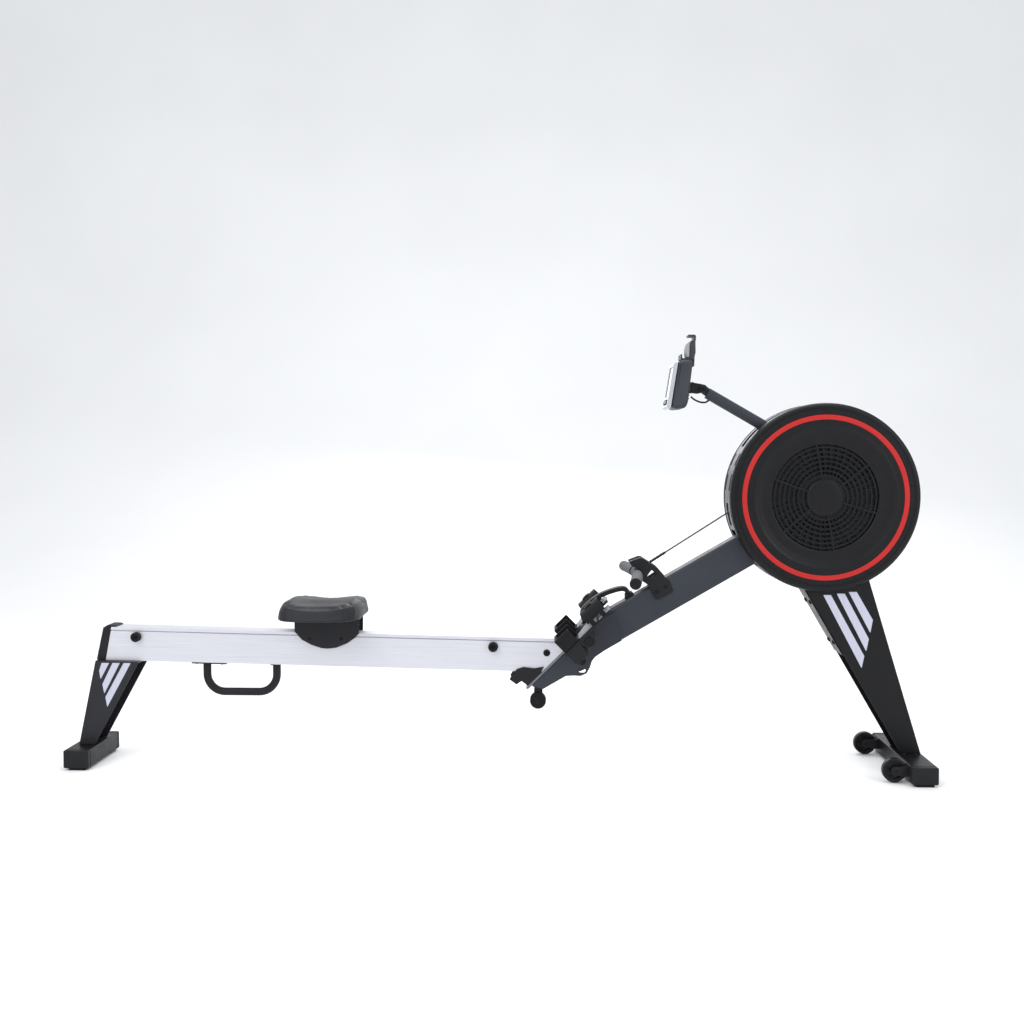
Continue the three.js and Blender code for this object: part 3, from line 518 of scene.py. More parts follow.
def piece(name, body, finish, bm, replaces=(), sharp=38, scale=MM, weighted=True):
    if scale != 1:
        bmesh.ops.transform(bm, matrix=Matrix.Scale(scale, 4), verts=bm.verts)
    bmesh.ops.remove_doubles(bm, verts=bm.verts, dist=1e-6)
    settle(bm, sharp)
    mesh = bpy.data.meshes.new(name)
    bm.to_mesh(mesh)
    bm.free()
    mesh.materials.append(M[finish])
    obj = bpy.data.objects.new(name, mesh)
    bpy.context.scene.collection.objects.link(obj)
    if weighted:
        obj.modifiers.new("even", "WEIGHTED_NORMAL").keep_sharp = True
    if body:
        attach(obj, body)
    if replaces:
        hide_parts(*replaces)
    return obj


def spiked(bm, low, high, room=0.0002):
    """True if a bevel threw a vertex outside the solid's own box."""
    return any(
        v.co[k] < low[k] - room or v.co[k] > high[k] + room for v in bm.verts for k in range(3)
    )


def rounded(node, finish, edge=1.2, sharp=33):
    """The CAD node's own shape with its edges rounded, standing for it."""
    source = NODES[node].data
    low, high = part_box(node)
    for clamp in (False, True):
        bm = bmesh.new()
        bm.from_mesh(source)
        bmesh.ops.remove_doubles(bm, verts=bm.verts, dist=1e-5)
        bmesh.ops.dissolve_limit(bm, angle_limit=math.radians(0.6), verts=bm.verts, edges=bm.edges)
        turn = math.radians(sharp)
        edges = [e for e in bm.edges if len(e.link_faces) == 2 and e.calc_face_angle(0) > turn]
        if edge:
            bmesh.ops.bevel(
                bm, geom=edges, offset=edge * MM, offset_type="OFFSET", segments=2,
                profile=0.6, affect="EDGES", clamp_overlap=clamp,
            )
        if not spiked(bm, low, high):
            break
        if not clamp:
            bm.free()
    bmesh.ops.triangulate(bm, faces=[f for f in bm.faces if len(f.verts) > 4])
    return piece(f"v_{node}", BODY_OF[node], finish, bm, [node], sharp=40, scale=1)


def rail_low(x):
    return RAIL["z"] + math.tan(RAIL["tilt"]) * (x - RAIL["x"])


def sole_at(s, h):
    return (SOLE[0] + HALF * (s - h), SOLE[1] + HALF * (s + h))


def on_fan(r, degrees, y):
    t = math.radians(degrees)
    return (FAN[0] + r * math.cos(t), y, FAN[1] + r * math.sin(t))


# ---- fan cage ----------------------------------------------------------------
GRILLE_IN, GRILLE_OUT = 51.5, 152
BAR = 5.3
SPOKES = (38, 100, 160, 220, 280, 343)
SCREWS = (8, 68, 123, 180, 240, 300)
LEVER = (118, 182)


def cover(side):
    """A side cover with its rim, step, dish and grille; side is -1 near, 1 far."""
    steps = 180
    outer = fillet([
        (GRILLE_OUT - 3, 65), (GRILLE_OUT, 66.5), (163, 66.5), (176, 67.4), (190, 70.4), (197, 73.2),
        (203, 72.5),
        (217.2, 72.5), (217.8, 71), (232.2, 71), (232.8, 72.5), (245, 72.5), (247, 70.3), (250, 70.3),
        (252, 72.3), (258, 71.4), (263, 66.5), (RIM, 58), (RIM, 50.6),
    ], 1.6, 3, closed=False)
    inner = [
        (262.4, 50.6), (262, 60), (254, 68.6), (203, 69.4), (190, 67.2), (163, 63.4), (GRILLE_OUT - 3, 62),
    ]
    bm = bmesh.new()
    lathe(bm, outer + inner, *FAN, steps=steps)
    if side > 0:
        cut_lever_slot(bm)
    pitch = (GRILLE_OUT - GRILLE_IN - 7 * BAR) / 8
    for k in range(7):
        r = GRILLE_IN + pitch * (k + 1) + BAR * k
        lathe(bm, fillet([(r, 66.4), (r + BAR, 66.4), (r + BAR, 62.4), (r, 62.4)], 1.1, 3), *FAN, steps=120)
    hub = [
        (0, 67.4), (30, 67.4), (44, 67.2), (46, 66.2), (49, 66.4), (GRILLE_IN, 65), (GRILLE_IN, 62), (0, 62),
    ]
    lathe(bm, hub, *FAN, steps=96, loop=False)
    for angle in SPOKES:
        t = math.radians(angle)
        ray = Vector((math.cos(t), 0, math.sin(t)))
        across = Vector((-math.sin(t), 0, math.cos(t)))
        centre = Vector((FAN[0], 0, FAN[1]))

        def spoke(u, v, w):
            return centre + ray * (GRILLE_IN - 2 + w) + across * u + Vector((0, v, 0))

        section = fillet([(-2.8, 62.2), (2.8, 62.2), (2.8, 67), (-2.8, 67)], 1.1, 3)
        plate(bm, section, 0, GRILLE_OUT - GRILLE_IN + 6, edge=0.3, place=spoke)
    if side < 0:
        flip(bm)
    name = "near" if side < 0 else "far"
    piece(f"cover_{name}", "frame", "cover", bm, [f"fan_cover_{name}"], sharp=30)

    bm = bmesh.new()
    ring = fillet([(218, 70.9), (218, 72.6), (220, 73.3), (230, 73.3), (232, 72.6), (232, 70.9)], 0.9, 3)
    lathe(bm, ring, *FAN, steps=steps)
    if side < 0:
        flip(bm)
    piece(f"accent_ring_{name}", "frame", "red", bm)

    bm = bmesh.new()
    for angle in SCREWS:
        screw(bm, on_fan(239, angle, side * 72.4), (0, side, 0), 2.6, 1.2)
    piece(f"cover_screws_{name}", "frame", "dark", bm)


def flip(bm):
    bmesh.ops.scale(bm, vec=(1, -1, 1), verts=bm.verts)


def cut_lever_slot(bm):
    """The curved slot of the far cover, for the air shutter's lever."""
    def inside(face):
        c = face.calc_center_median()
        dx, dz = c.x - FAN[0], c.z - FAN[1]
        r, a = math.hypot(dx, dz), math.degrees(math.atan2(dz, dx)) % 360
        return 177 < r < 191 and LEVER[0] < a < LEVER[1]

    gone = [f for f in bm.faces if inside(f)]
    bmesh.ops.delete(bm, geom=gone, context="FACES")
    rim = [e for e in bm.edges if len(e.link_faces) == 1]
    bmesh.ops.bridge_loops(bm, edges=rim)


def band():
    """The perimeter band, with the openings that the CAD band has and small vent slots beside them."""
    inner, outer, edge = RIM - 4.2, RIM - 1.2, 50.1
    ys = [-edge, -42, -33.4, -26, -20, -17, -9, 9, 17, 20, 26, 33.4, 42, edge]
    turns = [103, 147, 184, 198, 201, 229, 256, 303, 152, 160, 166, 176, 84, 98]
    turns = sorted(set(turns + [round(2 * i, 1) for i in range(180)]))

    def open_at(a, y):
        if 256 < a < 303:
            return True
        if 103 < a < 147 and abs(y) < 20:
            return True
        if 184 < a < 198 and abs(y) < 17:
            return True
        if 201 < a < 229 and abs(y) < 33.4:
            return True
        if (152 < a < 160 or 166 < a < 176 or 84 < a < 98) and 26 < abs(y) < 42:
            return True
        return False

    bm = bmesh.new()
    grid = {}
    for layer, r in enumerate((inner, outer)):
        for i, a in enumerate(turns):
            for j, y in enumerate(ys):
                grid[layer, i, j] = bm.verts.new(on_fan(r, a, y))
    count = len(turns)

    def solid(i, j):
        if not 0 <= j < len(ys) - 1:
            return False
        a0 = turns[i % count]
        a1 = turns[(i + 1) % count] + (360 if i % count == count - 1 else 0)
        return not open_at((a0 + a1) / 2, (ys[j] + ys[j + 1]) / 2)

    for i in range(count):
        n = (i + 1) % count
        for j in range(len(ys) - 1):
            if not solid(i, j):
                continue
            for layer in (0, 1):
                corners = ((i, j), (n, j), (n, j + 1), (i, j + 1))
                bm.faces.new([grid[layer, *c] for c in corners])
            for other, p, q in (
                ((i - 1) % count, (i, j), (i, j + 1)),
                (n, (n, j), (n, j + 1)),
            ):
                if not solid(other, j):
                    bm.faces.new((grid[0, *p], grid[1, *p], grid[1, *q], grid[0, *q]))
            for other, row in ((j - 1, j), (j + 1, j + 1)):
                if not solid(i, other):
                    bm.faces.new((grid[0, i, row], grid[1, i, row], grid[1, n, row], grid[0, n, row]))
    loose = [v for v in bm.verts if not v.link_faces]
    bmesh.ops.delete(bm, geom=loose, context="VERTS")
    piece("cage_band_shell", "frame", "band", bm, ["cage_band"], sharp=30)


def fan_wheel():
    """The flywheel: a rolled rim, a pressed disc and forty curved vanes."""
    bm = bmesh.new()
    disc = fillet([
        (8.6, -58), (34, -58), (40, -46), (60, -44.8), (222, -44.8), (225, -46), (225, -41), (28, -41),
        (28, -38.5), (8.6, -38.5),
    ], 1.5, 3)
    lathe(bm, disc, *FAN, steps=120)
    for k in range(40):
        t = 2 * math.pi * k / 40
        centre_line = []
        for i in range(9):
            r = 66 + (219 - 66) * i / 8
            a = t + 0.20 * (i / 8) ** 1.5
            centre_line.append((r * math.cos(a), r * math.sin(a)))
        left, right = [], []
        for i, p in enumerate(centre_line):
            a = Vector(centre_line[max(i - 1, 0)])
            b = Vector(centre_line[min(i + 1, 8)])
            n = Vector((-(b - a).y, (b - a).x)).normalized() * 0.7
            left.append((FAN[0] + p[0] + n.x, FAN[1] + p[1] + n.y))
            right.append((FAN[0] + p[0] - n.x, FAN[1] + p[1] - n.y))
        plate(bm, left + right[::-1], -59.8, -44.6, edge=0.25)
    piece("flywheel", "flywheel", "fan", bm, ["fan_wheel"], sharp=35)


def drum():
    bm = bmesh.new()
    profile = fillet([
        (8.6, -30), (DRUM_R + 6, -30), (DRUM_R + 6, -26), (DRUM_R, -15), (DRUM_R, 15), (DRUM_R + 6, 16),
        (DRUM_R + 6, 18), (8.6, 18),
    ], 0.8, 2)
    lathe(bm, profile, *FAN, steps=72)
    piece("drum", "drum", "silver", bm, ["belt_drum"])


# ---- legs and feet -----------------------------------------------------------
FRONT_STRIPES = [
    [(937.5, 505), (959, 505), (1054.7, 331.9), (1047.7, 296.9)],
    [(974.9, 509), (997.5, 509), (1066.6, 380.9), (1059.9, 345.1)],
    [(1008.3, 514), (1030.8, 514), (1077, 434.7), (1070.5, 397.4)],
]
REAR_STRIPES = [
    [(-1133.2, 297), (-1111.2, 297), (-1137.1, 248.8), (-1141, 273.9)],
    [(-1101.2, 297), (-1079.7, 297), (-1127, 206.9), (-1132.1, 234.7)],
    [(-1068.5, 297), (-1047.7, 297), (-1118.9, 167.7), (-1123.9, 196.7)],
]


def stripes():
    for name, body, rows, half in (
        ("front_leg", "frame", FRONT_STRIPES, 50), ("rear_leg", "rail", REAR_STRIPES, 45)
    ):
        for k, contour in enumerate(rows):
            bm = bmesh.new()
            plate(bm, fillet(contour, 1.2, 3), half - 0.2, half + 0.45, edge=0.2)
            mirrored(bm)
            piece(f"{name}_stripe_{k + 1}", body, "stripe", bm)


def leg_bolts():
    bm = bmesh.new()
    slope = Vector((-0.863, 0, -0.505))
    for z in (482, 367):
        x = 1160.5 - (z - 54.3) * 0.5846 - 4
        for y in (-28, 28):
            screw(bm, (x, y, z), slope, 7, 4)
    back = Vector((0.956, 0, 0.294))
    for z in (340, 180):
        x = 1064 + (552 - z) * (1217 - 1064) / (552 - 54.3)
        for y in (-26, 26):
            screw(bm, (x, y, z), back, 7, 3)
    piece("front_leg_bolts", "frame", "dark", bm)


def foot_tube(name, body, low, high, top, tube_half):
    """A stabiliser's painted tube with screws on its top; foot_caps adds the rounded end caps and rubber floor
    pads with grooves.
    """
    mid_x, mid_z = (low + high) / 2, (top + 6.5) / 2
    hx, hz = (high - low) / 2, (top - 6.5) / 2
    signs = ((-1, -1), (1, -1), (1, 1), (-1, 1))
    corners = [(mid_x + i * hx, mid_z + k * hz) for i, k in signs]
    outer = fillet(corners, 4.5, 5)
    bore = fillet([(x + (2 if x < mid_x else -2), z + (2 if z < mid_z else -2)) for x, z in corners], 2.5, 5)
    bm = bmesh.new()
    plate(bm, outer, -tube_half, tube_half, [bore], 0.6)
    for x in (mid_x - hx * 0.45, mid_x + hx * 0.45):
        for y in (-tube_half * 0.3, tube_half * 0.3):
            screw(bm, (x, y, top), (0, 0, 1), 5.5, 2.4)
    piece(f"{name}_tube", body, "black", bm, [name])
    return outer


def foot_caps():
    front = foot_tube("front_foot", "frame", 1150, 1220, 54, 178)
    rear = foot_tube("rear_foot", "rail", -1220, -1148, 57.6, 100)
    for label, body, outline, tube_half, half, pad, slot in (
        ("front", "frame", front, 178, 200, (1160, 1209), "rubber"),
        ("rear", "rail", rear, 100, 119, (-1205, -1158), "rubber"),
    ):
        for side_name, side in (("near", -1), ("far", 1)):
            bm = bmesh.new()
            plate(bm, outline, tube_half + 0.3, half, edge=2.4)
            if label == "front":
                fork(bm)
            if side < 0:
                flip(bm)
            piece(f"{label}_cap_{side_name}", body, "plastic", bm, [f"{label}_foot_cap_{side_name}"])
            bm = bmesh.new()
            y0, y1 = tube_half - 28, half - 3
            z_steps = [(pad[0], 0), (pad[1], 0), (pad[1], 5.8), (pad[0], 5.8)]
            plate(bm, fillet(z_steps, 1.2, 3), y0, y1, edge=1.2)
            root = [(pad[0] + 3, 5), (pad[1] - 3, 5), (pad[1] - 3, 10), (pad[0] + 3, 10)]
            plate(bm, root, y0 + 30, y1 - 3, edge=0.4)
            for k in range(5):
                y = y0 + 8 + k * (y1 - y0 - 16) / 4
                strip = [(pad[0] - 0.8, 1.6), (pad[1] + 0.8, 1.6), (pad[1] + 0.8, 3.6), (pad[0] - 0.8, 3.6)]
                plate(bm, strip, y - 2, y + 2, edge=0.3)
            if side < 0:
                flip(bm)
            piece(f"{label}_pad_{side_name}", body, "rubber", bm)


WHEEL = (1113, 35, 33, 150)


def fork(bm):
    x, z, _, y = WHEEL
    ear = [*arc(x, z, 12, 90, 270, 12), (1149.7, 20), (1149.7, 50)]
    for low, high in ((y - 17, y - 12.6), (y + 12.6, y + 17)):
        plate(bm, ear, low, high, [circle(x, z, 4.5, 20)], 0.9)
    bridge = fillet([(1147, 20), (1153, 20), (1153, 50), (1147, 50)], 0.8, 2)
    plate(bm, bridge, y - 17, 199, edge=0.8)


def transport_wheels():
    x, z, r, y = WHEEL
    for name, side in (("near", -1), ("far", 1)):
        bm = bmesh.new()
        tyre = fillet([(23, -8), (r - 3, -9.6), (r, -7.5), (r, 7.5), (r - 3, 9.6), (23, 8)], 1.6, 4)
        lathe(bm, tyre, x, z, 72, y=side * y)
        web = [circle(x + 16.2 * math.cos(t), z + 16.2 * math.sin(t), 4.1, 20)
               for t in [math.radians(72 * k + 18) for k in range(5)]]
        start = side * y
        plate(bm, circle(x, z, 23.6, 72), start - 4.5, start + 4.5, [*web, circle(x, z, 5, 24)], 0.8)
        plate(bm, circle(x, z, 23, 72), start - 1.5, start + 1.5, [circle(x, z, 6, 24)], 0.4)
        hub = fillet([(4.2, -12), (10.5, -12), (12, -9), (12, 9), (10.5, 12), (4.2, 12)], 0.9, 3)
        lathe(bm, hub, x, z, 48, y=side * y)
        piece(f"transport_{name}", f"wheel_{name}", "tyre", bm, [f"transport_wheel_{name}"])
        bm = bmesh.new()
        lathe(bm, [(0, -17.4), (5.6, -17.4), (6.6, -16.6), (6.6, -14), (4, -13), (4, 13), (6.6, 14),
                   (6.6, 16.6), (5.6, 17.4), (0, 17.4)], x, z, 32, False, y=side * y)
        piece(f"transport_axle_{name}", f"wheel_{name}", "dark", bm)


def caster():
    x, z, r = 132.3, 188.6, 23.3
    bm = bmesh.new()
    for side in (-1, 1):
        tread = fillet([
            (5.6, -4), (17, -4), (r - 2, -4), (r, -2.4), (r, 2.4), (r - 2, 4), (17, 4), (14, 2.2), (13, 3.9),
            (9, 3.9), (8, 2.6), (5.6, 2.6),
        ], 0.7, 3)
        lathe(bm, [(a, side * (8.9 + b)) for a, b in tread], x, z, 60)
    axle = [(0, 14.4), (8, 14.4), (9, 13.7), (9, 12.9), (5, 12.5)]
    lathe(bm, [(a, -b) for a, b in axle] + axle[::-1], x, z, 32, False)
    piece("caster_pair", "caster", "rubber", bm, ["caster_wheels"])


# ---- rail --------------------------------------------------------------------
BUMPERS = ((-1034.8, 371.5, "rear"), (3.8, 349, "front"))


def carry_loop():
    x0, x1, z = -837, -631.5, 207
    top = rail_low(-734) - 3
    corner = 52
    path = [(x0, 0, top), (x0, 0, z + corner + 12)]
    path += [(x0 + corner + a, 0, z + corner + b) for a, b in arc(0, 0, corner, 180, 270, 10)]
    path += [(x1 - corner + a, 0, z + corner + b) for a, b in arc(0, 0, corner, 270, 360, 10)]
    path += [(x1, 0, z + corner + 12), (x1, 0, top)]
    bm = bmesh.new()
    tube(bm, path, 11.5, 28, 0.3)
    for a, b, half in ((-876, -775, 24), (-646, -617, 20)):
        low_high = ((a, 4.6), (b, 4.6), (b, 0.3), (a, 0.3))
        slab = [(x, rail_low(x) - drop) for x, drop in low_high]
        plate(bm, slab, -half, half, edge=1)
    piece("carry_bar", "rail", "plastic", bm, ["carry_loop"])
    bm = bmesh.new()
    for x in (-863, -788):
        for y in (-15, 15):
            screw(bm, (x, y, rail_low(x) - 4.6), (0, 0, -1), 4.5, 2)
    piece("carry_bar_screws", "rail", "dark", bm)


def bumpers():
    for x, z, name in BUMPERS:
        bm = bmesh.new()
        half = [
            (0, 39.5), (5, 39.5), (7.2, 43), (9, 44.6), (12, 44.4), (14, 42), (14, 30), (12.6, 28.4), (5, 28.3),
        ]
        profile = [(r, -y) for r, y in half] + [(r, y) for r, y in reversed(half)]
        lathe(bm, profile, x, z, 48, False)
        piece(f"bumper_{name}", "rail", "rubber", bm, [f"rail_bumper_{name}"])
        bm = bmesh.new()
        for side in (-1, 1):
            screw(bm, (x, side * 39.4, z), (0, side, 0), 4.6, 2.6)
        piece(f"bumper_{name}_bolts", "rail", "dark", bm)
    bm = bmesh.new()
    for side in (-1, 1):
        screw(bm, (157.6, side * 28, 331.5), (0, side, 0), 10, 4.5)
    piece("rail_bolts", "rail", "dark", bm)


def rail():
    """The extruded rail, closed at both ends by its own sloping cuts."""
    rounded("rail", "silver", 0.7)
    rounded("rail_end_cap", "plastic", 1.6)
    rounded("rail_front_plate", "bright", 0.8)
    rounded("rail_hook", "plastic", 1.8)
    rounded("rear_leg", "leg", 1.4)


# ---- seat --------------------------------------------------------------------
def seat_outline(t, k):
    """A rounded rectangle with softly bowed sides, scaled by k."""
    c, s = math.cos(t), math.sin(t)
    r = (abs(c) ** 4.2 + abs(s) ** 4.2) ** (-1 / 4.2)
    return k * r * c, k * r * s


def seat_form(shrink=0.0):
    """The cushion before it is inflated: saddle top, flared skirt and flat base."""
    around = 96
    bm = bmesh.new()
    rows = []

    def ring(k, z_of, grow=0.0):
        row = []
        for i in range(around):
            u, v = seat_outline(2 * math.pi * i / around, k)
            x = SEAT["x"] + u * (SEAT["half_x"] + grow - shrink)
            y = v * (SEAT["half_y"] + grow - shrink)
            row.append(bm.verts.new((x, y, z_of(u, v))))
        rows.append(row)

    def top(u, v):
        return SEAT["top"] + 11 * u * u - 5 * v * v - 1.5 + 2 * math.cos(v * 3.1) * (1 - u * u) - shrink

    for k in (0.15, 0.3, 0.45, 0.6, 0.72, 0.82, 0.88):
        ring(k, top)
    ring(0.915, lambda u, v: top(u, v) - 1.4)
    ring(0.935, lambda u, v: top(u, v) - 5.5)
    ring(0.95, lambda u, v: top(u, v) - 12)
    ring(0.972, lambda u, v: (top(u, v) + SEAT["low"]) / 2 - 1)
    ring(0.992, lambda u, v: SEAT["low"] + 9)
    ring(0.995, lambda u, v: SEAT["low"] + 3)
    ring(0.975, lambda u, v: SEAT["low"] + 0.2 + shrink)
    for a, b in zip(rows, rows[1:]):
        for i in range(around):
            j = (i + 1) % around
            bm.faces.new((a[i], a[j], b[j], b[i]))
    bm.faces.new(rows[0])
    bm.faces.new(rows[-1])
    bmesh.ops.recalc_face_normals(bm, faces=bm.faces)
    bmesh.ops.transform(bm, matrix=Matrix.Scale(MM, 4), verts=bm.verts)
    return bm


def apply_modifiers(obj):
    graph = bpy.context.evaluated_depsgraph_get()
    mesh = bpy.data.meshes.new_from_object(obj.evaluated_get(graph), depsgraph=graph)
    obj.modifiers.clear()
    obj.data = mesh


def seat_cushion():
    """The seat, filled by a short pressure simulation, with its moulded rim raised afterwards."""
    bm = seat_form(2.2)
    mesh = bpy.data.meshes.new("seat_cushion")
    bm.to_mesh(mesh)
    bm.free()
    obj = bpy.data.objects.new("seat_cushion", mesh)
    bpy.context.scene.collection.objects.link(obj)
    remesh = obj.modifiers.new("even", "REMESH")
    remesh.mode = "VOXEL"
    remesh.voxel_size = 0.0045
    apply_modifiers(obj)
    rest = [v.co.copy() for v in obj.data.vertices]
    pins = obj.vertex_groups.new(name="base")
    base = (SEAT["low"] + 6) * MM
    pins.add([i for i, p in enumerate(rest) if p.z < base], 1.0, "REPLACE")
    cloth = obj.modifiers.new("fill", "CLOTH")
    cloth.settings.quality = 6
    cloth.settings.mass = 0.3
    cloth.settings.tension_stiffness = 40
    cloth.settings.bending_stiffness = 2
    cloth.settings.use_pressure = True
    cloth.settings.uniform_pressure_force = 4
    cloth.settings.vertex_group_mass = "base"
    cloth.settings.effector_weights.gravity = 0
    cloth.point_cache.frame_start, cloth.point_cache.frame_end = 1, 20
    for number in range(1, 21):
        bpy.context.scene.frame_set(number)
    apply_modifiers(obj)
    bpy.context.scene.frame_set(1)
    cap = 0.005
    for v, p in zip(obj.data.vertices, rest):
        move = v.co - p
        if move.length > cap:
            v.co = p + move * (cap / move.length)
        seat_detail(v)
    obj.data.materials.clear()
    obj.data.materials.append(M["seat"])
    for polygon in obj.data.polygons:
        polygon.use_smooth = True
    obj.modifiers.new("smooth", "SUBSURF").render_levels = 1
    obj.modifiers["smooth"].levels = 1
    apply_modifiers(obj)
    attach(obj, "seat")
    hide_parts("seat_pad")


def seat_detail(v):
    """A raised bead at the rim of the top, and a shallow hollow for each thigh."""
    u = (v.co.x / MM - SEAT["x"]) / SEAT["half_x"]
    w = v.co.y / MM / SEAT["half_y"]
    reach = (abs(u) ** 4.2 + abs(w) ** 4.2) ** (1 / 4.2)
    z = v.co.z / MM
    if z > SEAT["top"] - 12:
        bead = math.exp(-(((reach - 0.875) / 0.022) ** 2))
        hollow = math.exp(-((abs(w) - 0.42) / 0.26) ** 2 - (u / 0.7) ** 2)
        v.co.z += (1.3 * bead - 3.0 * hollow) * MM
    low = SEAT["low"] + 0.2
    if z < low:
        v.co.z = low * MM


def carriage():
    """Two smooth side aprons hanging from a deck, with a pair of screws low on each."""
    apron = fillet([
        (-570.4, 430), (-570.4, 390.3), (-549.6, 366.9), (-522.1, 352.2), (-492.3, 342.6), (-475.2, 341.2),
        (-449.6, 343.9), (-417.6, 356.9), (-396.4, 372.1), (-383.4, 384.9), (-382.6, 430),
    ], [1, 8, 10, 12, 14, 14, 14, 12, 8, 6, 1], 5)
    bm = bmesh.new()
    plate(bm, apron, 33.6, 38, edge=1.6)
    mirrored(bm)
    plate(bm, [(-570.4, 425), (-382.6, 425), (-382.6, 430.2), (-570.4, 430.2)], -37, 37, edge=0.8)
    piece("seat_aprons", "seat", "seat", bm, ["seat_carriage"])
    bm = bmesh.new()
    for x in (-526.7, -434.7):
        for side in (-1, 1):
            washer = [(0, 38.4), (4.6, 38.4), (5.2, 37.8), (5.2, 36), (0, 36)]
            lathe(bm, [(r, side * y) for r, y in washer], x, 370, 32, False)
            screw(bm, (x, side * 38.2, 370), (0, side, 0), 3.4, 1.0)
    piece("carriage_screws", "seat", "dark", bm)
    for name, x in (("rear", -545), ("front", -410)):
        z = rail_low(x) + RAIL["tall"] / math.cos(RAIL["tilt"]) + 17.3
        bm = bmesh.new()
        half = fillet([
            (5, -33), (5.2, -28), (15.4, -28), (17, -26), (17, -14), (15.4, -12), (5.2, -12),
        ], 0.7, 2, False)
        profile = [(0, -33)] + half + [(r, -y) for r, y in reversed(half)] + [(0, 33)]
        lathe(bm, profile, x, z, 48, False)
        piece(f"roller_{name}", f"roller_{name}", "grey", bm, [f"seat_roller_{name}"])


# ---- handle, holder and belt ---------------------------------------------------
def handle_at(y):
    s = max(0.0, (abs(y) - 40) / 216) ** 1.3
    return (HANDLE["x"] - 19.4 * s, y, HANDLE["z"] - 3.7 * s)


def handle():
    half = HANDLE["half"]
    for name, side in (("near", -1), ("far", 1)):
        path = [handle_at(side * (57 + (half - 3 - 57) * i / 60)) for i in range(61)]
        radii = []
        for i in range(61):
            ribs = 0.35 * math.sin(i * 1.9) if 6 < i < 54 else 0
            radii.append(15.6 + ribs - (1.2 if i < 2 else 0))
        bm = bmesh.new()
        tube(bm, path, radii, 40, 1.2)
        piece(f"grip_{name}", "handle", "grip", bm, [f"handle_grip_{name}"], sharp=60)
        bm = bmesh.new()
        ends = [handle_at(side * (half - 9 + 9 * i / 6)) for i in range(7)]
        tube(bm, ends, [16, 16, 16, 15.9, 15.4, 13.6, 11], 40, 0.8)
        piece(f"grip_cap_{name}", "handle", "dark", bm)
    bm = bmesh.new()
    tube(bm, [handle_at(-60 + 120 * i / 24) for i in range(25)], 13.4, 36, 1.2)
    for y in (-56, 56):
        tube(bm, [handle_at(y - 3), handle_at(y - 1), handle_at(y + 1), handle_at(y + 3)], 15.4, 36, 1)
    yoke = fillet([(408, 552), (408, 569), (423, 577.5), (437.5, 586), (442, 577), (424, 560)], 4, 4)
    plate(bm, yoke, -14, 14, edge=1.6)
    piece("handle_centre", "handle", "plastic", bm, ["handle_bar"])
    bm = bmesh.new()
    for side in (-1, 1):
        screw(bm, (431, side * 14, 576.5), (0, side, 0), 4.2, 1.8)
    piece("handle_pin", "handle", "bright", bm)


def ribbon(points, thick):
    left, right = [], []
    for i, p in enumerate(points):
        a, b = Vector(points[max(i - 1, 0)]), Vector(points[min(i + 1, len(points) - 1)])
        n = Vector((-(b - a).y, (b - a).x)).normalized() * thick / 2
        left.append((p[0] + n.x, p[1] + n.y))
        right.append((p[0] - n.x, p[1] - n.y))
    return left, right


def belt():
    """The pull belt: a run that stretches from handle to cage, and the wrap on roller and drum."""
    turn = [*arc(*GUIDE, 14.1, 122.8, 108, 6)]
    start = (440.5, 583.7)
    over = turn[0]
    run = [tuple(Vector(start).lerp(Vector(over), i / 40)) for i in range(41)]

    def strap(bm, points, thick, half):
        left, right = ribbon(points, thick)
        corners = [(-half, 0), (half, 0), (half, 1), (-half, 1)]
        rows = [
            [bm.verts.new(((l if side == 0 else r)[0], y, (l if side == 0 else r)[1])) for y, side in corners]
            for l, r in zip(left, right)
        ]
        for a, b in zip(rows, rows[1:]):
            for i in range(4):
                bm.faces.new((a[i], a[(i + 1) % 4], b[(i + 1) % 4], b[i]))
        bm.faces.new(rows[0])
        bm.faces.new(rows[-1])

    bm = bmesh.new()
    strap(bm, run, 1.6, 12.5)
    moving = piece("belt_run", None, "belt", bm, weighted=False)
    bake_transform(moving)
    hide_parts("pull_belt")

    bm = bmesh.new()
    sewn = [tuple(Vector(start).lerp(Vector(over), t)) for t in [0.22 * i / 12 for i in range(13)]]
    strap(bm, sewn, 4.4, 13)
    for k in range(6):
        at = Vector(start).lerp(Vector(over), 0.03 + 0.036 * k)
        along = (Vector(over) - Vector(start)).normalized()
        up = Vector((-along.y, along.x))
        for y in (-8, 8):
            a, b = at - along * 3 + up * 2.3, at + along * 3 + up * 2.3
            tube(bm, [(a.x, y, a.y), ((a.x + b.x) / 2, y, (a.y + b.y) / 2 + 0.3), (b.x, y, b.y)], 0.6, 8, 0.2)
    piece("belt_end", "handle", "belt", bm, weighted=False)

    bm = bmesh.new()
    drum_wrap = arc(*FAN, 45.1, 108, -20, 40)
    strap(bm, turn + drum_wrap, 1.6, 12.5)
    piece("belt_wrap", "frame", "belt", bm, weighted=False)


def holder():
    rounded("handle_holder", "plastic", 1.8)
    bm = bmesh.new()
    for x, z in ((471.1, 510.5), (495.7, 524.9)):
        for side in (-1, 1):
            washer = [(0, 38.2), (6.2, 38.2), (7, 37.4), (7, 36), (0, 36)]
            lathe(bm, [(r, side * y) for r, y in washer], x, z, 32, False)
            screw(bm, (x, side * 38, z), (0, side, 0), 4.6, 1.6)
    piece("holder_screws", "frame", "dark", bm)


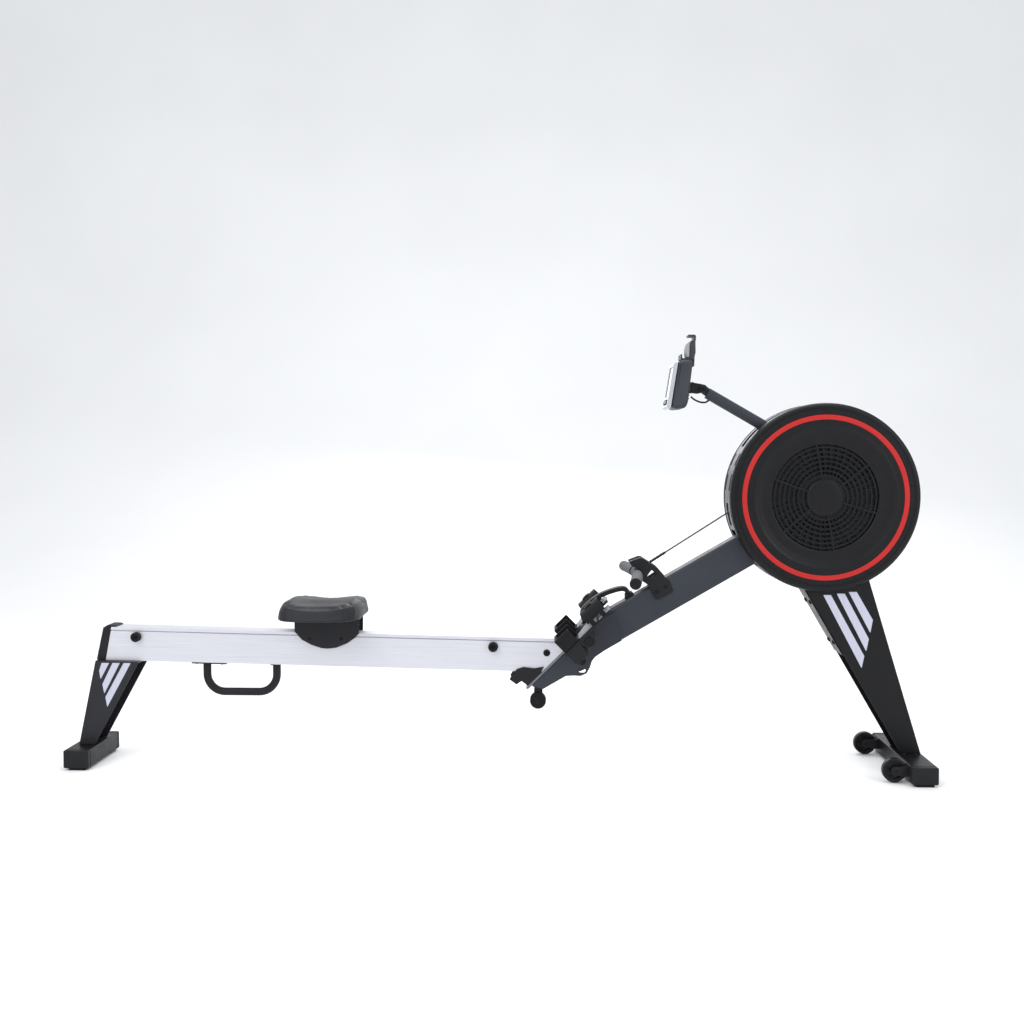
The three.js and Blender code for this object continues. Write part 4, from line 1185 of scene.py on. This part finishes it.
# ---- foot supports -------------------------------------------------------------
def strap_line(rise):
    """The strap's middle line across the foot in (y, height), leaving out what is below rise."""
    half = [(51.8, 0.4), (52.2, 14), (54.8, 25), (63, 36.5), (80.5, 43.2), (100, 44)]
    line = [(y, 0, h) for y, h in half] + [(200 - y, 0, h) for y, h in reversed(half[:-1])]
    flat = [(p.x, p.z) for p in smooth_path(line, 5)]
    return [p for p in flat if p[1] >= rise]


def foot_strap(name, place):
    """A wide ribbed strap on two narrow tabs at each edge of the plate."""
    bm = bmesh.new()
    for low, high, rise, thick in ((106.3, 171.6, 13, 3.0), (112, 126, 0, 3.0), (150, 164, 0, 3.0)):
        line = strap_line(rise)
        if rise:
            left, right = ribbon(line, thick)
            plate(bm, left + right[::-1], low, high, edge=1.0, place=place)
            continue
        for start, end in ((0, 6), (len(line) - 6, len(line))):
            left, right = ribbon(line[start:end], thick)
            plate(bm, left + right[::-1], low, high, edge=1.0, place=place)
    for k in range(8):
        s = 110 + 8 * k
        left, right = ribbon(strap_line(18), 4.4)
        plate(bm, left + right[::-1], s, s + 3.4, edge=0.8, place=place)
    return piece(f"strap_{name}", "frame", "strap", bm, [f"foot_strap_{name}"])


def foot_supports():
    for name, side in (("near", -1), ("far", 1)):
        rounded(f"foot_plate_{name}", "plastic", 1.3)

        def at(s, h, y):
            x, z = sole_at(s, h)
            return (x, side * y, z)

        def across(u, v, w):
            return at(w, v, u)

        foot_strap(name, across)
        bm = bmesh.new()
        cup = fillet([(5, 0.3), (56, 0.3), (56, 45), (5, 45)], [1, 1, 3, 3], 4)
        plate(bm, cup, 50, 57.4, edge=1.6, place=at)
        plate(bm, cup, 142.6, 150, edge=1.6, place=at)
        wall = fillet([(5, 0.3), (12, 0.3), (12, 45), (5, 45)], 1.5, 3)
        plate(bm, wall, 51, 149, edge=1.6, place=at)
        plate(bm, [(5.5, 0.4), (62, 0.4), (62, 3.6), (5.5, 3.6)], 56, 144, edge=0.6, place=at)
        piece(f"heel_cup_{name}", f"shoe_{name}", "strap", bm, [f"flex_foot_{name}"])
        bm = bmesh.new()
        wedge = fillet([(60, 0.4), (131.5, 0.4), (132.6, 12), (128, 13.6), (60, 3.6)], [0.5, 1, 2, 3, 0.5], 4)
        plate(bm, wedge, 58, 142, edge=1.4, place=at)
        piece(f"toe_wedge_{name}", f"shoe_{name}", "grey", bm)
        bm = bmesh.new()
        toe = fillet([(136, 0.1), (179, 0.1), (179, 4), (136, 4)], 1.2, 3)
        plate(bm, toe, 56, 144, edge=1.2, place=at)
        piece(f"toe_plate_{name}", "frame", "grey", bm)
        bm = bmesh.new()
        for y in (80, 120):
            for s in (148, 168):
                screw(bm, at(s, 3.8, y), (-HALF, 0, HALF), 4, 1)
        piece(f"plate_screws_{name}", "frame", "dark", bm)
        bm = bmesh.new()
        buckle = fillet([(126, 44.8), (152, 44.8), (152, 48.6), (126, 48.6)], 1.2, 3)
        plate(bm, buckle, 84, 116, edge=1, place=at)
        tongue = fillet([(132, 47), (146, 47), (146, 50.4), (132, 50.4)], 1.2, 3)
        plate(bm, tongue, 90, 110, edge=0.8, place=at)
        piece(f"buckle_{name}", "frame", "dark", bm)
    bm = bmesh.new()
    x, z = sole_at(75, -22)
    lathe(bm, fillet([(0.01, -150), (11.9, -150), (11.9, 150), (0.01, 150)], 1.5, 3), x, z, 40, False)
    piece("crossbar", "frame", "dark", bm, ["foot_crossbar"])
    hoop()


def hoop():
    """The moulded bow between the two feet."""
    line = smooth_path([(p[0], 0, p[1]) for p in [
        (267, 424), (261, 436), (261.5, 450), (275, 468), (292, 482), (313, 496), (342, 508), (368, 515),
        (382, 514), (389, 507), (395, 499),
    ]], 4)
    flat = [(p.x, p.z) for p in line]
    left, right = ribbon(flat, 13)
    bm = bmesh.new()
    plate(bm, left + right[::-1], -18, 18, edge=3)

    def above(x, h):
        rise = BOOM["tall"] / 2 / math.cos(BOOM["tilt"])
        return (x, BOOM["z"] + math.tan(BOOM["tilt"]) * (x - BOOM["x"]) + rise + h)

    plate(bm, [above(259, 0.5), above(302, 0.5), above(296, 9), above(262, 13)], -18, 18, edge=1.2)
    plate(bm, [above(382, 0.5), above(408, 0.5), above(402, 12), above(382, 16)], -18, 18, edge=1.2)
    piece("foot_bow", "frame", "plastic", bm, ["foot_hoop"])


# ---- monitor -------------------------------------------------------------------
def arm_at(s, up=0):
    a = ARM["tilt"]
    return (ARM["x"] - math.cos(a) * s + math.sin(a) * up, ARM["z"] + math.sin(a) * s + math.cos(a) * up)


def monitor_arm():
    bm = bmesh.new()
    path = [(x, 0, z) for x, z in [arm_at(-16 + (ARM["end"] + 16) * i / 20) for i in range(21)]]
    tube(bm, path, 15.9, 48, 1.2)
    lug = [arm_at(ARM["end"] - 20, -12), *arc(*TILT, 11.8, 240, 60, 16), arm_at(ARM["end"] - 20, 12)]
    plate(bm, lug, -6, 6, [circle(*TILT, 4.5, 20)], 1)
    piece("arm_tube", "arm", "frame", bm, ["monitor_arm"])
    bm = bmesh.new()
    collar = [(x, 0, z) for x, z in [arm_at(8 + 4 * i) for i in range(4)]]
    tube(bm, collar, 17.6, 48, 1.6)
    piece("arm_collar", "arm", "dark", bm)


def face_x(z):
    return 495.5 + (z - 1050) * math.tan(math.radians(9))


def console():
    half = 62
    bm = bmesh.new()
    for side in (-1, 1):
        low, high = sorted((side * 6.5, side * 11))
        cheek = [(568, 1076), (568, 1106), (596, 1101), *arc(*TILT, 12, 60, -110, 14), (586, 1074)]
        plate(bm, cheek, low, high, edge=1)
    plate(bm, fillet([(563.8, 1075), (566.5, 1106), (572, 1106), (572, 1076)], 1.5, 3), -22, 22, edge=1.4)
    for side in (-1, 1):
        knob = fillet([(0.01, 10.6), (11.6, 10.6), (11.6, 16), (9.6, 17.2), (0.01, 17.2)], 1, 3)
        lathe(bm, [(r, side * y) for r, y in knob], *TILT, 40, False)
    piece("neck", "console", "plastic", bm, ["console_neck"])
    bm = bmesh.new()
    for side in (-1, 1):
        screw(bm, (TILT[0], side * 17, TILT[1]), (0, side, 0), 6.5, 2)
    piece("neck_bolts", "console", "dark", bm)

    shell = [
        (face_x(1035) + 12, 1027), (face_x(1160) + 12, 1160), (face_x(1166) + 24, 1166.5), (566, 1166.5),
        (563, 1134), (559, 1100), (553, 1047), (546, 1031),
    ]
    bm = bmesh.new()
    plate(bm, fillet(shell, [15, 5, 20, 15, 30, 30, 24, 16], 8), -half, half, edge=9)
    piece("console_shell", "console", "shell", bm, ["console_back"], sharp=60)
    rounded("console_bezel", "bezel", 2.2)
    rounded("console_screen", "screen", 0.5)
    rounded("console_keypad", "rubber", 0.8)
    bm = bmesh.new()
    for k in range(5):
        y = -30 + 15 * k
        x = face_x(1049) - 2

        def key(u, v, w):
            return (x - w, y + u, 1049 + v)

        plate(bm, fillet([(-6, -4), (6, -4), (6, 4), (-6, 4)], 3, 4), -1, 1.4, edge=0.6, place=key)
    piece("keypad_buttons", "keypad", "grey", bm)
    bm = bmesh.new()
    for k in range(6):
        z = 1058 + 9 * k

        def vent(u, v, w):
            return (560 + (z - 1100) * 0.1 + w, u, z + v)

        slot = fillet([(26, -1.6), (52, -1.6), (52, 1.6), (26, 1.6)], 1.4, 3)
        plate(bm, slot, -1.6, 0.6, edge=0.4, place=vent)
    mirrored(bm)
    piece("console_vents", "console", "dark", bm)
    rounded("phone_holder", "shell", 1.6)
    lens = fillet([
        (552, 1174.3), (549.8, 1186), (549.8, 1200), (553, 1213), (557.5, 1218.8), (562.4, 1218.8),
        (559.4, 1174.3),
    ], [3, 8, 8, 8, 3, 2, 2], 4)
    bm = bmesh.new()
    plate(bm, lens, -30, 30, edge=3)
    piece("phone_cushion", "console", "pad", bm, ["phone_pad"])
    rounded("phone_jaw", "shell", 1.6)


CABLE = [
    (567, 0, 1066), (572, 0, 1061.2), (578, 0, 1057), (584, 0, 1053.8), (590, 0, 1051.3), (596.5, 0, 1049.6),
    (603, 0, 1049), (608, 0, 1049.4), (612.5, 0, 1051.2), (616.5, 0, 1054.2), (621, 0, 1059),
]


def cable():
    """The lead between the console and the arm's tube."""
    path = [p * MM for p in smooth_path(CABLE, 3)]
    bm = bmesh.new()
    tube(bm, [p / MM for p in path], 2.5, 20, 0.2)
    lead = piece("console_lead", "arm", "rubber", bm, ["monitor_cable"], weighted=False)


# ---- everything else -----------------------------------------------------------
def carried_over():
    """CAD solids whose own shape is right, with rounded edges and a real finish."""
    for node, finish, slot, edge in (
        ("boom", "frame", "frame_paint", 0.6),
        ("boom_foot", "frame", "frame_paint", 1.2),
        ("caster_neck", "black", "black_steel", 1.0),
        ("drive_frame", "dark", "black_steel", 0.8),
        ("axle", "bright", "bright_steel", 0.6),
        ("recoil_case", "dark", "black_plastic", 0.8),
        ("guide_roller", "plastic", "black_plastic", 0.5),
        ("front_leg", "black", "black_steel", 1.4),
        ("front_leg_flange", "black", "black_steel", 1.2),
        ("damper", "dark", "black_plastic", 0.6),
        ("hinge_pin", "bright", "bright_steel", 0.8),
    ):
        rounded(node, finish, edge)


def lobe_knob():
    bm = bmesh.new()
    for side in (-1, 1):
        profile = [(0, 42.4), (4, 42.4), (8.6, 41.4), (10.4, 39), (10.4, 36.6), (0, 36.6)]
        lathe(bm, [(r, side * y) for r, y in profile], 259, 309, 40, False)
        screw(bm, (259, side * 42, 309), (0, side, 0), 4.2, 1.2)
    piece("lobe_knob", "frame", "dark", bm)


def studio():
    """Pale floor that curves up into a backdrop, and broad soft lights."""
    bm = bmesh.new()
    line = [(-14.0, 0.0), (2.6, 0.0)]
    bend = [math.radians(9 * k) for k in range(1, 11)]
    line += [(2.6 + 3 * math.sin(t), 3 - 3 * math.cos(t)) for t in bend]
    line += [(5.6, 9.0)]
    rows = [[bm.verts.new((x, y, z)) for x in (-16, 16)] for y, z in line]
    for a, b in zip(rows, rows[1:]):
        bm.faces.new((a[0], a[1], b[1], b[0]))
    for face in bm.faces:
        face.smooth = True
    mesh = bpy.data.meshes.new("floor")
    bm.to_mesh(mesh)
    bm.free()
    n = Nodes("floor_paint")
    tone = n.mix(n.span(n.noise(0.7, 3), 0, 1), (0.86, 0.86, 0.87), (0.9, 0.9, 0.9))
    mesh.materials.append(n.finish(tone, n.span(n.noise(3, 3), 0.75, 0.85), n.bump(n.noise(40, 2), 0.00002)))
    floor = bpy.data.objects.new("floor", mesh)
    bpy.context.scene.collection.objects.link(floor)
    for name, place, aim, size, power in (
        ("key", (-2.2, -3.2, 3.6), (0, 0, 0.5), 2.6, 100),
        ("fill", (3.4, -2.6, 2.2), (0.4, 0, 0.5), 2.4, 50),
        ("top", (0.2, 0.6, 4.2), (0, 0, 0), 4.0, 92),
        ("back", (0.5, 3.6, 2.6), (0, 0, 0.5), 3.0, 52),
    ):
        data = bpy.data.lights.new(name, "AREA")
        data.size = size
        data.energy = power
        light = bpy.data.objects.new(name, data)
        light.location = place
        light.rotation_euler = (Vector(aim) - Vector(place)).to_track_quat("-Z", "Y").to_euler()
        bpy.context.scene.collection.objects.link(light)
    world = bpy.data.worlds.new("studio")
    world.use_nodes = True
    world.node_tree.nodes["Background"].inputs["Color"].default_value = (0.94, 0.97, 1.0, 1)
    world.node_tree.nodes["Background"].inputs["Strength"].default_value = 0.76
    bpy.context.scene.world = world
    bpy.context.scene.view_settings.view_transform = "Standard"


make_camera()
M = make_materials()
cable()
cover(-1)
cover(1)
band()
fan_wheel()
drum()
stripes()
leg_bolts()
foot_caps()
transport_wheels()
caster()
rail()
carry_loop()
bumpers()
seat_cushion()
carriage()
handle()
belt()
holder()
foot_supports()
monitor_arm()
console()
carried_over()
lobe_knob()
studio()
